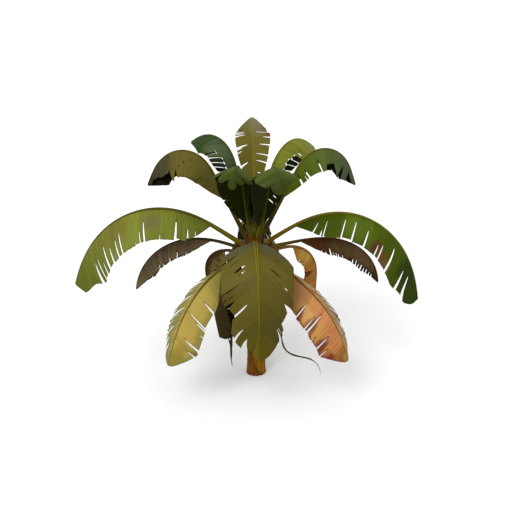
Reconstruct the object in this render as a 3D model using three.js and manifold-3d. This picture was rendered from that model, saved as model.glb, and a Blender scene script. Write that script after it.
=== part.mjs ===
// A rooted dwarf banana plant: a pseudostem of wrapped leaf sheaths, with young leaves that
// rise from its throat, long leaves that arch over to both sides, and old ones that hang.
// Millimetres and degrees, +Z up. The origin is the middle of the stem's flat cut at ground
// level. A heading of 0 runs along +X, 90 along +Y and 270 along -Y, which is the front.
import * as THREE from 'three';
import Module from 'manifold-3d';
import { mergeVertices } from 'three/addons/utils/BufferGeometryUtils.js';

const wasm = await Module();
wasm.setup();

// Pseudostem: heights with the radius of its wrapped sheaths there.
const STEM_PROFILE = [
  { height: 0, radius: 92 },
  { height: 60, radius: 86 },
  { height: 220, radius: 82 },
  { height: 520, radius: 78 },
  { height: 820, radius: 74 },
  { height: 1080, radius: 71 },
  { height: 1240, radius: 72 },
  { height: 1340, radius: 66 },
  { height: 1430, radius: 48 },
  { height: 1500, radius: 26 },
  { height: 1530, radius: 8 },
];
const STEM_SIDES = 28;
const STEM_LEAN = 12; // sideways run of the stem between the ground and the throat
const SEAT_GAP = 0.3; // clearance between a piece and what carries it

// Leaf stalks: an oval that tapers from the sheath to the blade.
const STALK_WIDTH = 44;
const STALK_DEPTH = 32;
const STALK_END_WIDTH = 26;
const STALK_END_DEPTH = 20;
const STALK_SIDES = 8;
const STALK_STEPS = 5;
const STALK_INSET = 30; // run of a stalk's foot inside the stem before it is cut to its seat

// Leaf blades: thickness at shares of the width, from the right margin over the rib to the
// left margin.
const MARGIN_THICKNESS = 4;
const SECTION = [
  { share: -1, thickness: MARGIN_THICKNESS },
  { share: -0.5, thickness: 7 },
  { share: 0, thickness: 12 },
  { share: 0.5, thickness: 7 },
  { share: 1, thickness: MARGIN_THICKNESS },
];
const END_HALF_WIDTH = 10;
const BLADE_STEPS = 10;
const SPLIT_STEPS = 7; // steps of each stretch of a divided blade
const DROOP_SPREAD = 0.3; // share of the droop by which it grows from middle to margin
const VEIN_SWEEP_FOOT = 0.1; // run of a side vein towards the tip for each unit outwards
const VEIN_SWEEP_TIP = 0.5; // the same at the blade's tip
const RIB_STEPS = 120; // fine steps along which a rib is summed up

// Blade colours by age.
const COLOURS = {
  olive: 0x5f5a28,
  dark: 0x1c2b12,
  green: 0x4b5f1a,
  deep: 0x3c500f,
  lime: 0x7d8232,
  yellow: 0xa5964b,
  orange: 0xa56e46,
  brown: 0x4b4132,
  stalk: 0x6e7a2a,
  dryStalk: 0x5a4a26,
  stem: 0x825a0a,
};
const ROUGHNESS = { stem: 0.8, stalk: 0.6, blade: 0.55, strand: 0.7 };

// What a leaf has unless it says otherwise. `launch` and `fall` are the rib's angles above
// level where it leaves the stem and at its tip, and the rib bends over between the two
// `bend` shares of its length. `turn` is how far the heading swings along the leaf. `stalk`
// is the share of the length without a blade. `halves` are the widths of the left and right
// halves of the blade and `droop` is how far each hangs below level. The blade widens over
// the `foot` share of its length and closes over the `tip` share, blunt where `taper` is
// low. `split` is the share of the blade at which a long one is divided.
const TYPICAL = {
  turn: 0,
  bend: [0.1, 1.1],
  stalk: 0.24,
  droop: [35, 35],
  foot: 0.35,
  tip: 0.4,
  taper: 0.6,
  split: 0,
  girth: 1,
  stalkColour: 'stalk',
};

const LEAVES = [
  // Young leaves that rise from the throat.
  { name: 'back_upright', heading: 96, turn: -2, launch: 84, fall: 50, bend: [0.3, 1.2],
    height: 1470, length: 1008, stalk: 0.3, halves: [168, 160], droop: [-12, -12],
    foot: 0.75, tip: 0.4, taper: 0.9, colour: 'olive' },
  { name: 'back_left', heading: 145, launch: 76, fall: -38, bend: [0.46, 1.0],
    height: 1414, length: 1288, stalk: 0.3, halves: [208, 220], droop: [38, 55],
    foot: 0.4, tip: 0.52, split: 0.5, colour: 'dark' },
  { name: 'back_right', heading: 48, launch: 75, fall: -38, bend: [0.36, 0.98],
    height: 1385, length: 1350, stalk: 0.3, halves: [215, 208], droop: [55, 38],
    foot: 0.4, tip: 0.4, split: 0.5, colour: 'lime' },
  { name: 'high_left', heading: 191.5, turn: -10, launch: 65, fall: -68, bend: [0.44, 0.965],
    height: 1384, length: 1554, stalk: 0.28, halves: [258, 230], droop: [43, 46],
    foot: 0.4, tip: 0.5, split: 0.5, girth: 1.15, colour: 'olive' },
  { name: 'high_right', heading: 350, turn: 18, launch: 64, fall: -72, bend: [0.45, 0.94],
    height: 1420, length: 1515, stalk: 0.27, halves: [200, 222], droop: [48, 44],
    foot: 0.5, tip: 0.55, split: 0.5, girth: 1.15, colour: 'green' },
  { name: 'front_rising_left', heading: 246, turn: 16, launch: 69, fall: -95, bend: [0.56, 1.12],
    height: 1395, length: 1310, stalk: 0.14, halves: [175, 225], droop: [48, 26],
    foot: 0.5, tip: 0.3, split: 0.62, colour: 'dark' },
  { name: 'front_rising_right', heading: 296, turn: -18, launch: 67, fall: -90, bend: [0.54, 1.1],
    height: 1395, length: 1300, stalk: 0.14, halves: [170, 185], droop: [26, 6],
    foot: 0.6, tip: 0.3, split: 0.62, colour: 'dark' },
  // Full-grown leaves that arch over.
  { name: 'left_long', heading: 190, turn: 10, launch: 39, fall: -77, bend: [0.13, 1.07],
    height: 1318, length: 1985, stalk: 0.2, halves: [352, 340], droop: [36, 36],
    foot: 0.18, tip: 0.34, taper: 0.5, split: 0.48, colour: 'lime' },
  { name: 'right_long', heading: 348, turn: -16, launch: 38, fall: -83, bend: [0.1, 1.05],
    height: 1345, length: 1935, stalk: 0.2, halves: [302, 298], droop: [36, 36],
    foot: 0.36, tip: 0.32, taper: 0.45, split: 0.48, colour: 'deep' },
  { name: 'front_big', heading: 270, turn: 9, launch: 48, fall: -96, bend: [-0.1, 0.85],
    height: 1345, length: 1570, stalk: 0.14, halves: [335, 335], droop: [20, 20],
    foot: 0.2, tip: 0.5, taper: 0.55, split: 0.4, colour: 'olive' },
  { name: 'back_long', heading: 90, turn: 3, launch: 22, fall: -92, bend: [0.02, 1.0],
    height: 1325, length: 1620, stalk: 0.16, halves: [290, 290], droop: [56, 56],
    foot: 0.4, tip: 0.3, split: 0.45, colour: 'lime' },
  // Old leaves that hang and dry.
  { name: 'left_brown', heading: 180, turn: 12, launch: 23, fall: -110, bend: [0.03, 1.4],
    height: 1276, length: 1285, stalk: 0.26, halves: [155, 140], droop: [60, 68],
    foot: 0.3, tip: 0.45, colour: 'brown', stalkColour: 'dryStalk' },
  { name: 'right_brown', heading: 0, launch: 13, fall: -115, bend: [0.21, 1.35],
    height: 1302, length: 1262, stalk: 0.26, halves: [140, 165], droop: [68, 58],
    foot: 0.3, tip: 0.45, colour: 'brown', stalkColour: 'dryStalk' },
  { name: 'low_left_yellow', heading: 219, turn: 7, launch: 30, fall: -78, bend: [-0.6, 1.2],
    height: 1255, length: 1335, stalk: 0.24, halves: [236, 215], droop: [38, 22],
    foot: 0.36, tip: 0.5, taper: 0.5, colour: 'yellow' },
  { name: 'low_right_orange', heading: 314, turn: 12, launch: -14, fall: -112, bend: [0.08, 1.6],
    height: 1290, length: 1340, stalk: 0.24, halves: [172, 256], droop: [22, 38],
    foot: 0.36, tip: 0.5, taper: 0.5, colour: 'orange', stalkColour: 'dryStalk' },
  { name: 'left_hanging', heading: 165, turn: 6, launch: 4, fall: -100, bend: [0.08, 0.5],
    height: 1238, length: 1250, stalk: 0.27, halves: [130, 130], droop: [76, 76],
    foot: 0.08, tip: 0.14, taper: 0.4, colour: 'brown', stalkColour: 'dryStalk' },
  { name: 'right_hanging', heading: 15, turn: -6, launch: 10, fall: -94, bend: [0.1, 0.7],
    height: 1245, length: 1090, stalk: 0.26, halves: [115, 115], droop: [68, 68],
    foot: 0.1, tip: 0.5, taper: 0.9, colour: 'orange', stalkColour: 'dryStalk' },
  { name: 'back_left_dry', heading: 114, turn: -6, launch: 8, fall: -96, bend: [-0.1, 0.8],
    height: 1262, length: 1240, stalk: 0.24, halves: [135, 125], droop: [50, 50],
    colour: 'brown', stalkColour: 'dryStalk' },
  { name: 'back_right_dry', heading: 67, turn: 6, launch: 8, fall: -96, bend: [-0.1, 0.8],
    height: 1280, length: 1200, stalk: 0.24, halves: [125, 135], droop: [50, 50],
    colour: 'yellow', stalkColour: 'dryStalk' },
];

// Torn strands that hang from the margin of a blade. `at` is the share of the blade where a
// strand starts and `half` the side it hangs from. Its angle above level starts at `start`
// and swings up by `swing` half way along before it falls back.
const STRANDS = [
  { name: 'left_hanging_strip_1', leaf: 'left_hanging', at: 0.88, half: 0, heading: 270,
    start: -72, swing: -18, length: 330, width: 16, thickness: 3, colour: 'brown' },
  { name: 'left_hanging_strip_2', leaf: 'left_hanging', at: 0.95, half: 0, heading: 320,
    start: -66, swing: -24, length: 330, width: 12, thickness: 3, colour: 'brown' },
  { name: 'front_trailing_strand', leaf: 'front_big', at: 0.8, half: 0, heading: 0,
    start: -84, swing: 72, length: 575, width: 9, thickness: 3, colour: 'dark' },
];
const STRAND_STEPS = 12;
const STRAND_TAPER = 0.7; // share of its width that a strand loses by its end
const STRAND_INSET = 20; // run of a strand inside the margin before it is cut to its seat

// Unit vector of a heading and an angle above level.
function direction(heading, elevation) {
  const h = THREE.MathUtils.degToRad(heading);
  const e = THREE.MathUtils.degToRad(elevation);
  return new THREE.Vector3(Math.cos(e) * Math.cos(h), Math.cos(e) * Math.sin(h), Math.sin(e));
}

// Middle and radius of the stem at a height.
function stemAt(height) {
  let upper = STEM_PROFILE.findIndex((ring) => ring.height >= height);
  upper = Math.max(1, upper);
  const a = STEM_PROFILE[upper - 1];
  const b = STEM_PROFILE[upper];
  const share = (height - a.height) / (b.height - a.height);
  const lean = STEM_LEAN * (height / STEM_PROFILE.at(-1).height) ** 2;
  return {
    middle: new THREE.Vector3(-lean, 0, height),
    radius: THREE.MathUtils.lerp(a.radius, b.radius, share),
  };
}

// Point, direction and cross axes along a leaf's rib, at a share of its whole length.
function ribFrames(leaf) {
  const frames = [];
  const stem = stemAt(leaf.height);
  const point = stem.middle.clone();
  point.addScaledVector(direction(leaf.heading, 0), stem.radius);
  const step = leaf.length / RIB_STEPS;
  for (let i = 0; i <= RIB_STEPS; i += 1) {
    const share = i / RIB_STEPS;
    const bent = THREE.MathUtils.smoothstep(share, leaf.bend[0], leaf.bend[1]);
    const heading = leaf.heading + leaf.turn * share;
    const along = direction(heading, THREE.MathUtils.lerp(leaf.launch, leaf.fall, bent));
    const side = direction(heading + 90, 0);
    const up = new THREE.Vector3().crossVectors(along, side);
    frames.push({ point: point.clone(), along, side, up });
    point.addScaledVector(along, step);
  }
  return frames;
}

// Frame at a share of the leaf's length. Past the tip it runs straight on.
function frameAt(frames, share) {
  const place = share * RIB_STEPS;
  const i = THREE.MathUtils.clamp(Math.floor(place), 0, RIB_STEPS - 1);
  const rest = place - i;
  const mix = (key) => frames[i][key].clone().lerp(frames[i + 1][key], rest);
  return {
    point: mix('point'),
    along: mix('along').normalize(),
    side: mix('side').normalize(),
    up: mix('up').normalize(),
  };
}

// Share of its full width that a blade has at a share of its length.
function widthShare(leaf, t) {
  const quarter = Math.PI / 2;
  const opening = Math.sin(quarter * Math.min(t / leaf.foot, 1));
  const closing = Math.sin(quarter * Math.min((1 - t) / leaf.tip, 1));
  return opening * closing ** leaf.taper;
}

// A closed skin over rings of equal, even point counts, each run anticlockwise seen from the
// end. The end caps join opposite points, so they also fit a ring that is thin and folded.
function loft(rings) {
  const count = rings[0].length;
  const positions = rings.flat().flatMap((p) => [p.x, p.y, p.z]);
  const index = [];
  for (let i = 0; i + 1 < rings.length; i += 1) {
    for (let j = 0; j < count; j += 1) {
      const a = i * count + j;
      const b = i * count + ((j + 1) % count);
      index.push(a, b, b + count, a, b + count, a + count);
    }
  }
  const last = (rings.length - 1) * count;
  for (let j = 0; j + 1 < count / 2; j += 1) {
    const a = j + 1;
    const b = count - 2 - j;
    const c = count - 1 - j;
    index.push(j, b, a, j, c, b);
    index.push(last + j, last + a, last + b, last + j, last + b, last + c);
  }
  const geometry = new THREE.BufferGeometry();
  geometry.setAttribute('position', new THREE.Float32BufferAttribute(positions, 3));
  geometry.setIndex(index);
  return geometry;
}

function solidOf(geometry) {
  const merged = mergeVertices(geometry, 1e-4);
  const mesh = new wasm.Mesh({
    numProp: 3,
    vertProperties: new Float32Array(merged.attributes.position.array),
    triVerts: new Uint32Array(merged.index.array),
  });
  return new wasm.Manifold(mesh);
}

function geometryOf(solid) {
  const mesh = solid.getMesh();
  const geometry = new THREE.BufferGeometry();
  geometry.setAttribute('position', new THREE.Float32BufferAttribute(mesh.vertProperties, 3));
  geometry.setIndex(new THREE.Uint32BufferAttribute(mesh.triVerts, 1));
  return geometry;
}

// The stem's skin, or that skin grown outwards to cut the stalks to their seats.
function stemGeometry(growth) {
  const rings = STEM_PROFILE.map((ring) => {
    const { middle, radius } = stemAt(ring.height);
    const points = [];
    for (let k = 0; k < STEM_SIDES; k += 1) {
      const reach = direction((360 * k) / STEM_SIDES, 0).multiplyScalar(radius + growth);
      points.push(middle.clone().add(reach));
    }
    return points;
  });
  return loft(rings);
}

// A stalk from inside the stem's skin to its blade, before its foot is cut to the stem.
function stalkGeometry(leaf, frames) {
  const rings = [];
  for (let i = -1; i <= STALK_STEPS; i += 1) {
    const along = Math.max(i, 0) / STALK_STEPS;
    const frame = frameAt(frames, along * leaf.stalk);
    if (i < 0) {
      frame.point.addScaledVector(frame.along, -STALK_INSET);
    }
    const width = leaf.girth * THREE.MathUtils.lerp(STALK_WIDTH, STALK_END_WIDTH, along);
    const depth = leaf.girth * THREE.MathUtils.lerp(STALK_DEPTH, STALK_END_DEPTH, along);
    const ring = [];
    for (let k = 0; k < STALK_SIDES; k += 1) {
      const turn = (2 * Math.PI * (k + 0.5)) / STALK_SIDES;
      const point = frame.point.clone();
      point.addScaledVector(frame.side, (Math.cos(turn) * width) / 2);
      point.addScaledVector(frame.up, (Math.sin(turn) * depth) / 2);
      ring.push(point);
    }
    rings.push(ring);
  }
  return loft(rings);
}

// Frame of the rib beside a point of a side vein. A vein leaves the rib at a share of the
// blade and runs outwards and on towards the tip.
function veinFrame(leaf, frames, t, distance) {
  const start = leaf.stalk + (1 - leaf.stalk) * t;
  const sweep = THREE.MathUtils.lerp(VEIN_SWEEP_FOOT, VEIN_SWEEP_TIP, t);
  return frameAt(frames, start + (sweep * distance) / leaf.length);
}

// Point on one half of the blade at a share of its width. The half hangs a little less than
// its droop next to the rib and a little more at the margin, and the sums are exact.
function halfPoint(frame, width, sideSign, droop, share) {
  const start = THREE.MathUtils.degToRad(droop * (1 - DROOP_SPREAD));
  const gain = THREE.MathUtils.degToRad(droop * 2 * DROOP_SPREAD);
  const end = start + gain * share;
  const out = (width * (Math.sin(end) - Math.sin(start))) / gain;
  const down = (width * (Math.cos(start) - Math.cos(end))) / gain;
  const point = frame.point.clone();
  point.addScaledVector(frame.side, out * sideSign);
  point.addScaledVector(frame.up, -down);
  return point;
}

// Stretches of the blade that are bodies of their own, from one share of it to another.
function stretches(leaf) {
  const gap = SEAT_GAP / (leaf.length * (1 - leaf.stalk));
  if (!leaf.split) {
    return [{ suffix: 'blade', from: gap, to: 1, steps: BLADE_STEPS, crowd: crowdBothEnds }];
  }
  return [
    { suffix: 'inner_blade', from: gap, to: leaf.split, steps: SPLIT_STEPS, crowd: crowdStart },
    { suffix: 'outer_blade', from: leaf.split + gap, to: 1, steps: SPLIT_STEPS, crowd: crowdEnd },
  ];
}

// Spacings that crowd the steps where the outline turns quickly.
const CROWDING = 1.4;
const crowdStart = (even) => even ** CROWDING;
const crowdEnd = (even) => 1 - (1 - even) ** CROWDING;
const crowdBothEnds = (even) => (even + 0.5 - 0.5 * Math.cos(Math.PI * even)) / 2;

// A stretch of a blade as a thin closed body. `growth` swells it all over, to cut what
// hangs from it.
function bladeGeometry(leaf, frames, stretch, growth = 0) {
  const rings = [];
  for (let i = 0; i <= stretch.steps; i += 1) {
    const t = THREE.MathUtils.lerp(stretch.from, stretch.to, stretch.crowd(i / stretch.steps));
    const full = widthShare(leaf, t);
    const top = [];
    const under = [];
    for (const { share, thickness } of SECTION) {
      const sign = share < 0 ? -1 : 1;
      const half = share < 0 ? 1 : 0;
      const width = THREE.MathUtils.lerp(END_HALF_WIDTH, leaf.halves[half], full) + growth;
      const frame = veinFrame(leaf, frames, t, width * Math.abs(share));
      const point = halfPoint(frame, width, sign, leaf.droop[half], Math.abs(share));
      top.push(point.clone().addScaledVector(frame.up, growth));
      under.push(point.clone().addScaledVector(frame.up, -thickness - growth));
    }
    rings.push([...under, ...top.reverse()]);
  }
  return loft(rings);
}

// A strand as a thin tapering ribbon that starts inside the blade's margin.
function strandGeometry(strand, leaf, frames) {
  const sign = strand.half === 0 ? 1 : -1;
  const full = widthShare(leaf, strand.at);
  const width = THREE.MathUtils.lerp(END_HALF_WIDTH, leaf.halves[strand.half], full);
  const inset = (width - STRAND_INSET) / width;
  const frame = veinFrame(leaf, frames, strand.at, width * inset);
  const point = halfPoint(frame, width, sign, leaf.droop[strand.half], inset);
  point.addScaledVector(frame.up, -MARGIN_THICKNESS / 2);
  const rings = [];
  for (let i = 0; i <= STRAND_STEPS; i += 1) {
    const share = i / STRAND_STEPS;
    const rise = strand.start + (strand.swing * (1 - Math.cos(2 * Math.PI * share))) / 2;
    const along = direction(strand.heading, rise);
    const across = direction(strand.heading + 90, 0).multiplyScalar(strand.width / 2);
    const out = new THREE.Vector3().crossVectors(along, across).normalize();
    out.multiplyScalar(strand.thickness / 2);
    across.multiplyScalar(1 - STRAND_TAPER * share);
    rings.push([
      point.clone().sub(across).sub(out),
      point.clone().add(across).sub(out),
      point.clone().add(across).add(out),
      point.clone().sub(across).add(out),
    ]);
    point.addScaledVector(along, strand.length / STRAND_STEPS);
  }
  return loft(rings);
}

const plant = new THREE.Group();

function add(name, geometry, colour, roughness) {
  const material = new THREE.MeshStandardMaterial({
    color: COLOURS[colour],
    roughness,
    metalness: 0,
  });
  const mesh = new THREE.Mesh(geometry, material);
  mesh.name = name;
  plant.add(mesh);
}

add('pseudostem', stemGeometry(0), 'stem', ROUGHNESS.stem);

const stemCutter = solidOf(stemGeometry(SEAT_GAP));

for (const own of LEAVES) {
  const leaf = { ...TYPICAL, ...own };
  const frames = ribFrames(leaf);
  const stalk = solidOf(stalkGeometry(leaf, frames)).subtract(stemCutter);
  add(`${leaf.name}_stalk`, geometryOf(stalk), leaf.stalkColour, ROUGHNESS.stalk);
  for (const stretch of stretches(leaf)) {
    const blade = bladeGeometry(leaf, frames, stretch);
    add(`${leaf.name}_${stretch.suffix}`, blade, leaf.colour, ROUGHNESS.blade);
  }
}

for (const strand of STRANDS) {
  const leaf = { ...TYPICAL, ...LEAVES.find((own) => own.name === strand.leaf) };
  const frames = ribFrames(leaf);
  let ribbon = solidOf(strandGeometry(strand, leaf, frames));
  for (const stretch of stretches(leaf)) {
    ribbon = ribbon.subtract(solidOf(bladeGeometry(leaf, frames, stretch, SEAT_GAP)));
  }
  const [longest] = ribbon.decompose().sort((a, b) => b.volume() - a.volume());
  add(strand.name, geometryOf(longest), strand.colour, ROUGHNESS.strand);
}

export default plant;
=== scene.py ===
# %% [markdown]
# # A dwarf banana plant
# A banana plant is a giant herb. What looks like its trunk is a pseudostem: leaf sheaths
# wrapped round each other. Every sheath runs up into a stalk, the stalk into a midrib, and
# the midrib carries two thin half blades that the wind tears along their side veins.
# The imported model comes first, because every piece made here stands for solids in it.

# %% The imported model
import math

import bpy
import numpy as np
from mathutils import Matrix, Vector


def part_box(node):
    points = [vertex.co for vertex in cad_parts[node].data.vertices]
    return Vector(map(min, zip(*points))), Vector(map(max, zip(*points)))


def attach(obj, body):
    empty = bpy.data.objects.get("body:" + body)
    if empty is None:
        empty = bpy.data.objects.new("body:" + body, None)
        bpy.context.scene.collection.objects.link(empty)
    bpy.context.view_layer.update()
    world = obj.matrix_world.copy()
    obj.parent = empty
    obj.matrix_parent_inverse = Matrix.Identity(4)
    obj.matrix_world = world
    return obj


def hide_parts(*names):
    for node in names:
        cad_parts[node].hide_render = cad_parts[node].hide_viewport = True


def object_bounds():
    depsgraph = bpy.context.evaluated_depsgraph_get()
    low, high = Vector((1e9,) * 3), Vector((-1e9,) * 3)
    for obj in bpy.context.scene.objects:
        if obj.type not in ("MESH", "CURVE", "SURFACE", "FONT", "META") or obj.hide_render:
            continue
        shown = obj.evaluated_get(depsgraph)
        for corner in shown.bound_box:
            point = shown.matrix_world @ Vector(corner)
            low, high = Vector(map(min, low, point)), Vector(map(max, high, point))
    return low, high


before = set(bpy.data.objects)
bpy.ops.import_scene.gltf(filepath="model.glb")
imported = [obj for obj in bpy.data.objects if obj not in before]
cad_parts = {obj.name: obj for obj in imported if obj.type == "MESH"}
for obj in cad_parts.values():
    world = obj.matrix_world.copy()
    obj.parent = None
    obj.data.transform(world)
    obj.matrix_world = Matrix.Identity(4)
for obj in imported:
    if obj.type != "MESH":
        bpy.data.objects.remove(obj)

CAD_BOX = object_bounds()
TOP = CAD_BOX[1].z
print(f"solids: {len(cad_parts)}, plant {TOP:.2f} m tall")

# %% [markdown]
# ## The camera
# A camera could be placed by eye. Here it circles the middle of the plant's height at a
# stated angle and distance, so that the view follows the plant if its size changes. A lens
# of about 70 mm from 9 m away keeps near and far leaves in their true proportions.

# %% The camera
LENS = 70.3
CAMERA_DISTANCE = 9.07
CAMERA_ELEVATION = math.radians(25)
SENSOR_WIDTH = 36

camera = bpy.data.objects.new("camera", bpy.data.cameras.new("camera"))
bpy.context.scene.collection.objects.link(camera)
bpy.context.scene.camera = camera
camera.data.lens = LENS
camera.data.sensor_width = SENSOR_WIDTH
camera.location = (
    0,
    -CAMERA_DISTANCE * math.cos(CAMERA_ELEVATION),
    TOP / 2 + CAMERA_DISTANCE * math.sin(CAMERA_ELEVATION),
)
camera.rotation_euler = (math.pi / 2 - CAMERA_ELEVATION, 0, 0)
print("camera at", [round(x, 2) for x in camera.location])

# %% [markdown]
# ## Light and floor
# Soft studio light could come from many lamps. A pale sky with one wide sun is simpler and
# has no seams: the sky lights every side of the leaves, and the sun, up on the left, shapes
# them. The lower half of the sky is dim for everything but the camera, and the floor hands
# back no light, so that the undersides of the leaves stay as deep as they are outdoors.

# %% Light and floor
scene = bpy.context.scene
scene.view_settings.view_transform = "Standard"
SKY = 0.9
GROUND_GLOW = 0.16
SUN_STRENGTH = 1.5
SUN_ANGLE = math.radians(35)
SUN_TURN = (math.radians(38), math.radians(-28), 0)
HORIZON = 0.25
FLOOR_SIZE = 120
FLOOR_WHITE = (0.96, 0.96, 0.96, 1)
FLOOR_ROUGHNESS = 0.9


def place(tree, kind, inputs=None, **settings):
    """A node with its settings, and its inputs set or linked by name or number."""
    made = tree.nodes.new(kind if kind.startswith("NodeGroup") else f"ShaderNode{kind}")
    for key, value in settings.items():
        setattr(made, key, value)
    for key, value in (inputs or {}).items():
        if isinstance(value, bpy.types.NodeSocket):
            tree.links.new(value, made.inputs[key])
        else:
            made.inputs[key].default_value = value
    return made


world = bpy.data.worlds.new("pale_sky")
scene.world = world
world.use_nodes = True
tree = world.node_tree
tree.nodes.clear()
direction = place(tree, "TexCoord")
height = place(tree, "SeparateXYZ", {0: direction.outputs["Generated"]})
rise = place(
    tree,
    "MapRange",
    {0: height.outputs["Z"], 1: -HORIZON, 2: HORIZON, 3: GROUND_GLOW, 4: SKY},
    interpolation_type="SMOOTHSTEP",
)
ray = place(tree, "LightPath")
strength = place(
    tree,
    "Mix",
    {0: ray.outputs["Is Camera Ray"], 2: rise.outputs[0], 3: 1.0},
    data_type="FLOAT",
)
sky = place(tree, "Background", {0: (1, 1, 1, 1), 1: strength.outputs[0]})
place(tree, "OutputWorld", {0: sky.outputs[0]})

sun = bpy.data.objects.new("sun", bpy.data.lights.new("sun", "SUN"))
sun.data.energy = SUN_STRENGTH
sun.data.angle = SUN_ANGLE
sun.rotation_euler = SUN_TURN
scene.collection.objects.link(sun)

floor_mesh = bpy.data.meshes.new("floor")
edge = FLOOR_SIZE / 2
floor_mesh.from_pydata(
    [(-edge, -edge, 0), (edge, -edge, 0), (edge, edge, 0), (-edge, edge, 0)],
    [],
    [(0, 1, 2, 3)],
)
floor = bpy.data.objects.new("floor", floor_mesh)
scene.collection.objects.link(floor)
floor.visible_diffuse = False
floor_paint = bpy.data.materials.new("pale_floor")
floor_paint.use_nodes = True
floor_finish = floor_paint.node_tree.nodes["Principled BSDF"]
floor_finish.inputs["Base Color"].default_value = FLOOR_WHITE
floor_finish.inputs["Roughness"].default_value = FLOOR_ROUGHNESS
floor_mesh.materials.append(floor_paint)
print(f"sky {SKY}, sun {SUN_STRENGTH}, floor {FLOOR_SIZE} m")

# %% [markdown]
# ## The leaves in one table
# Each leaf could be sculpted alone. All of them follow one plan, though: a rib that leaves
# the stem at `height` and `heading`, rises at `launch` degrees and has bent to `fall` by
# its tip, and two half blades of widths `halves` that hang at `droop` degrees from it. So
# one table of named sizes is enough, in metres, degrees and shares of the blade. The ribs
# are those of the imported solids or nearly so, and widths and tips are trued to the plant.
# - A pair gives the left half first, seen from the stem.
# - `foot` and `tip` are the shares over which a half opens and closes, `point` goes from a
#   rounded end (0) to a straight-edged one (1), and `hook` sweeps the last veins forward.
# - `rips` are large tears: place on the margin, inner end, gap there in millimetres, and
#   where given the next finger's lost share of width and its turn in degrees.
# - `nicks` are small random tears: how many, how deep, and the widest gap.
# - `slots` are slits short of the margin: place, inner end, outer end and gap.
# - `lean` slants tears back at foot and tip, and `sink` adds droop between two places.
# - `sag` and `fray` loosen the fingers and their ends, and `girth` scales stalk and rib.

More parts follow.
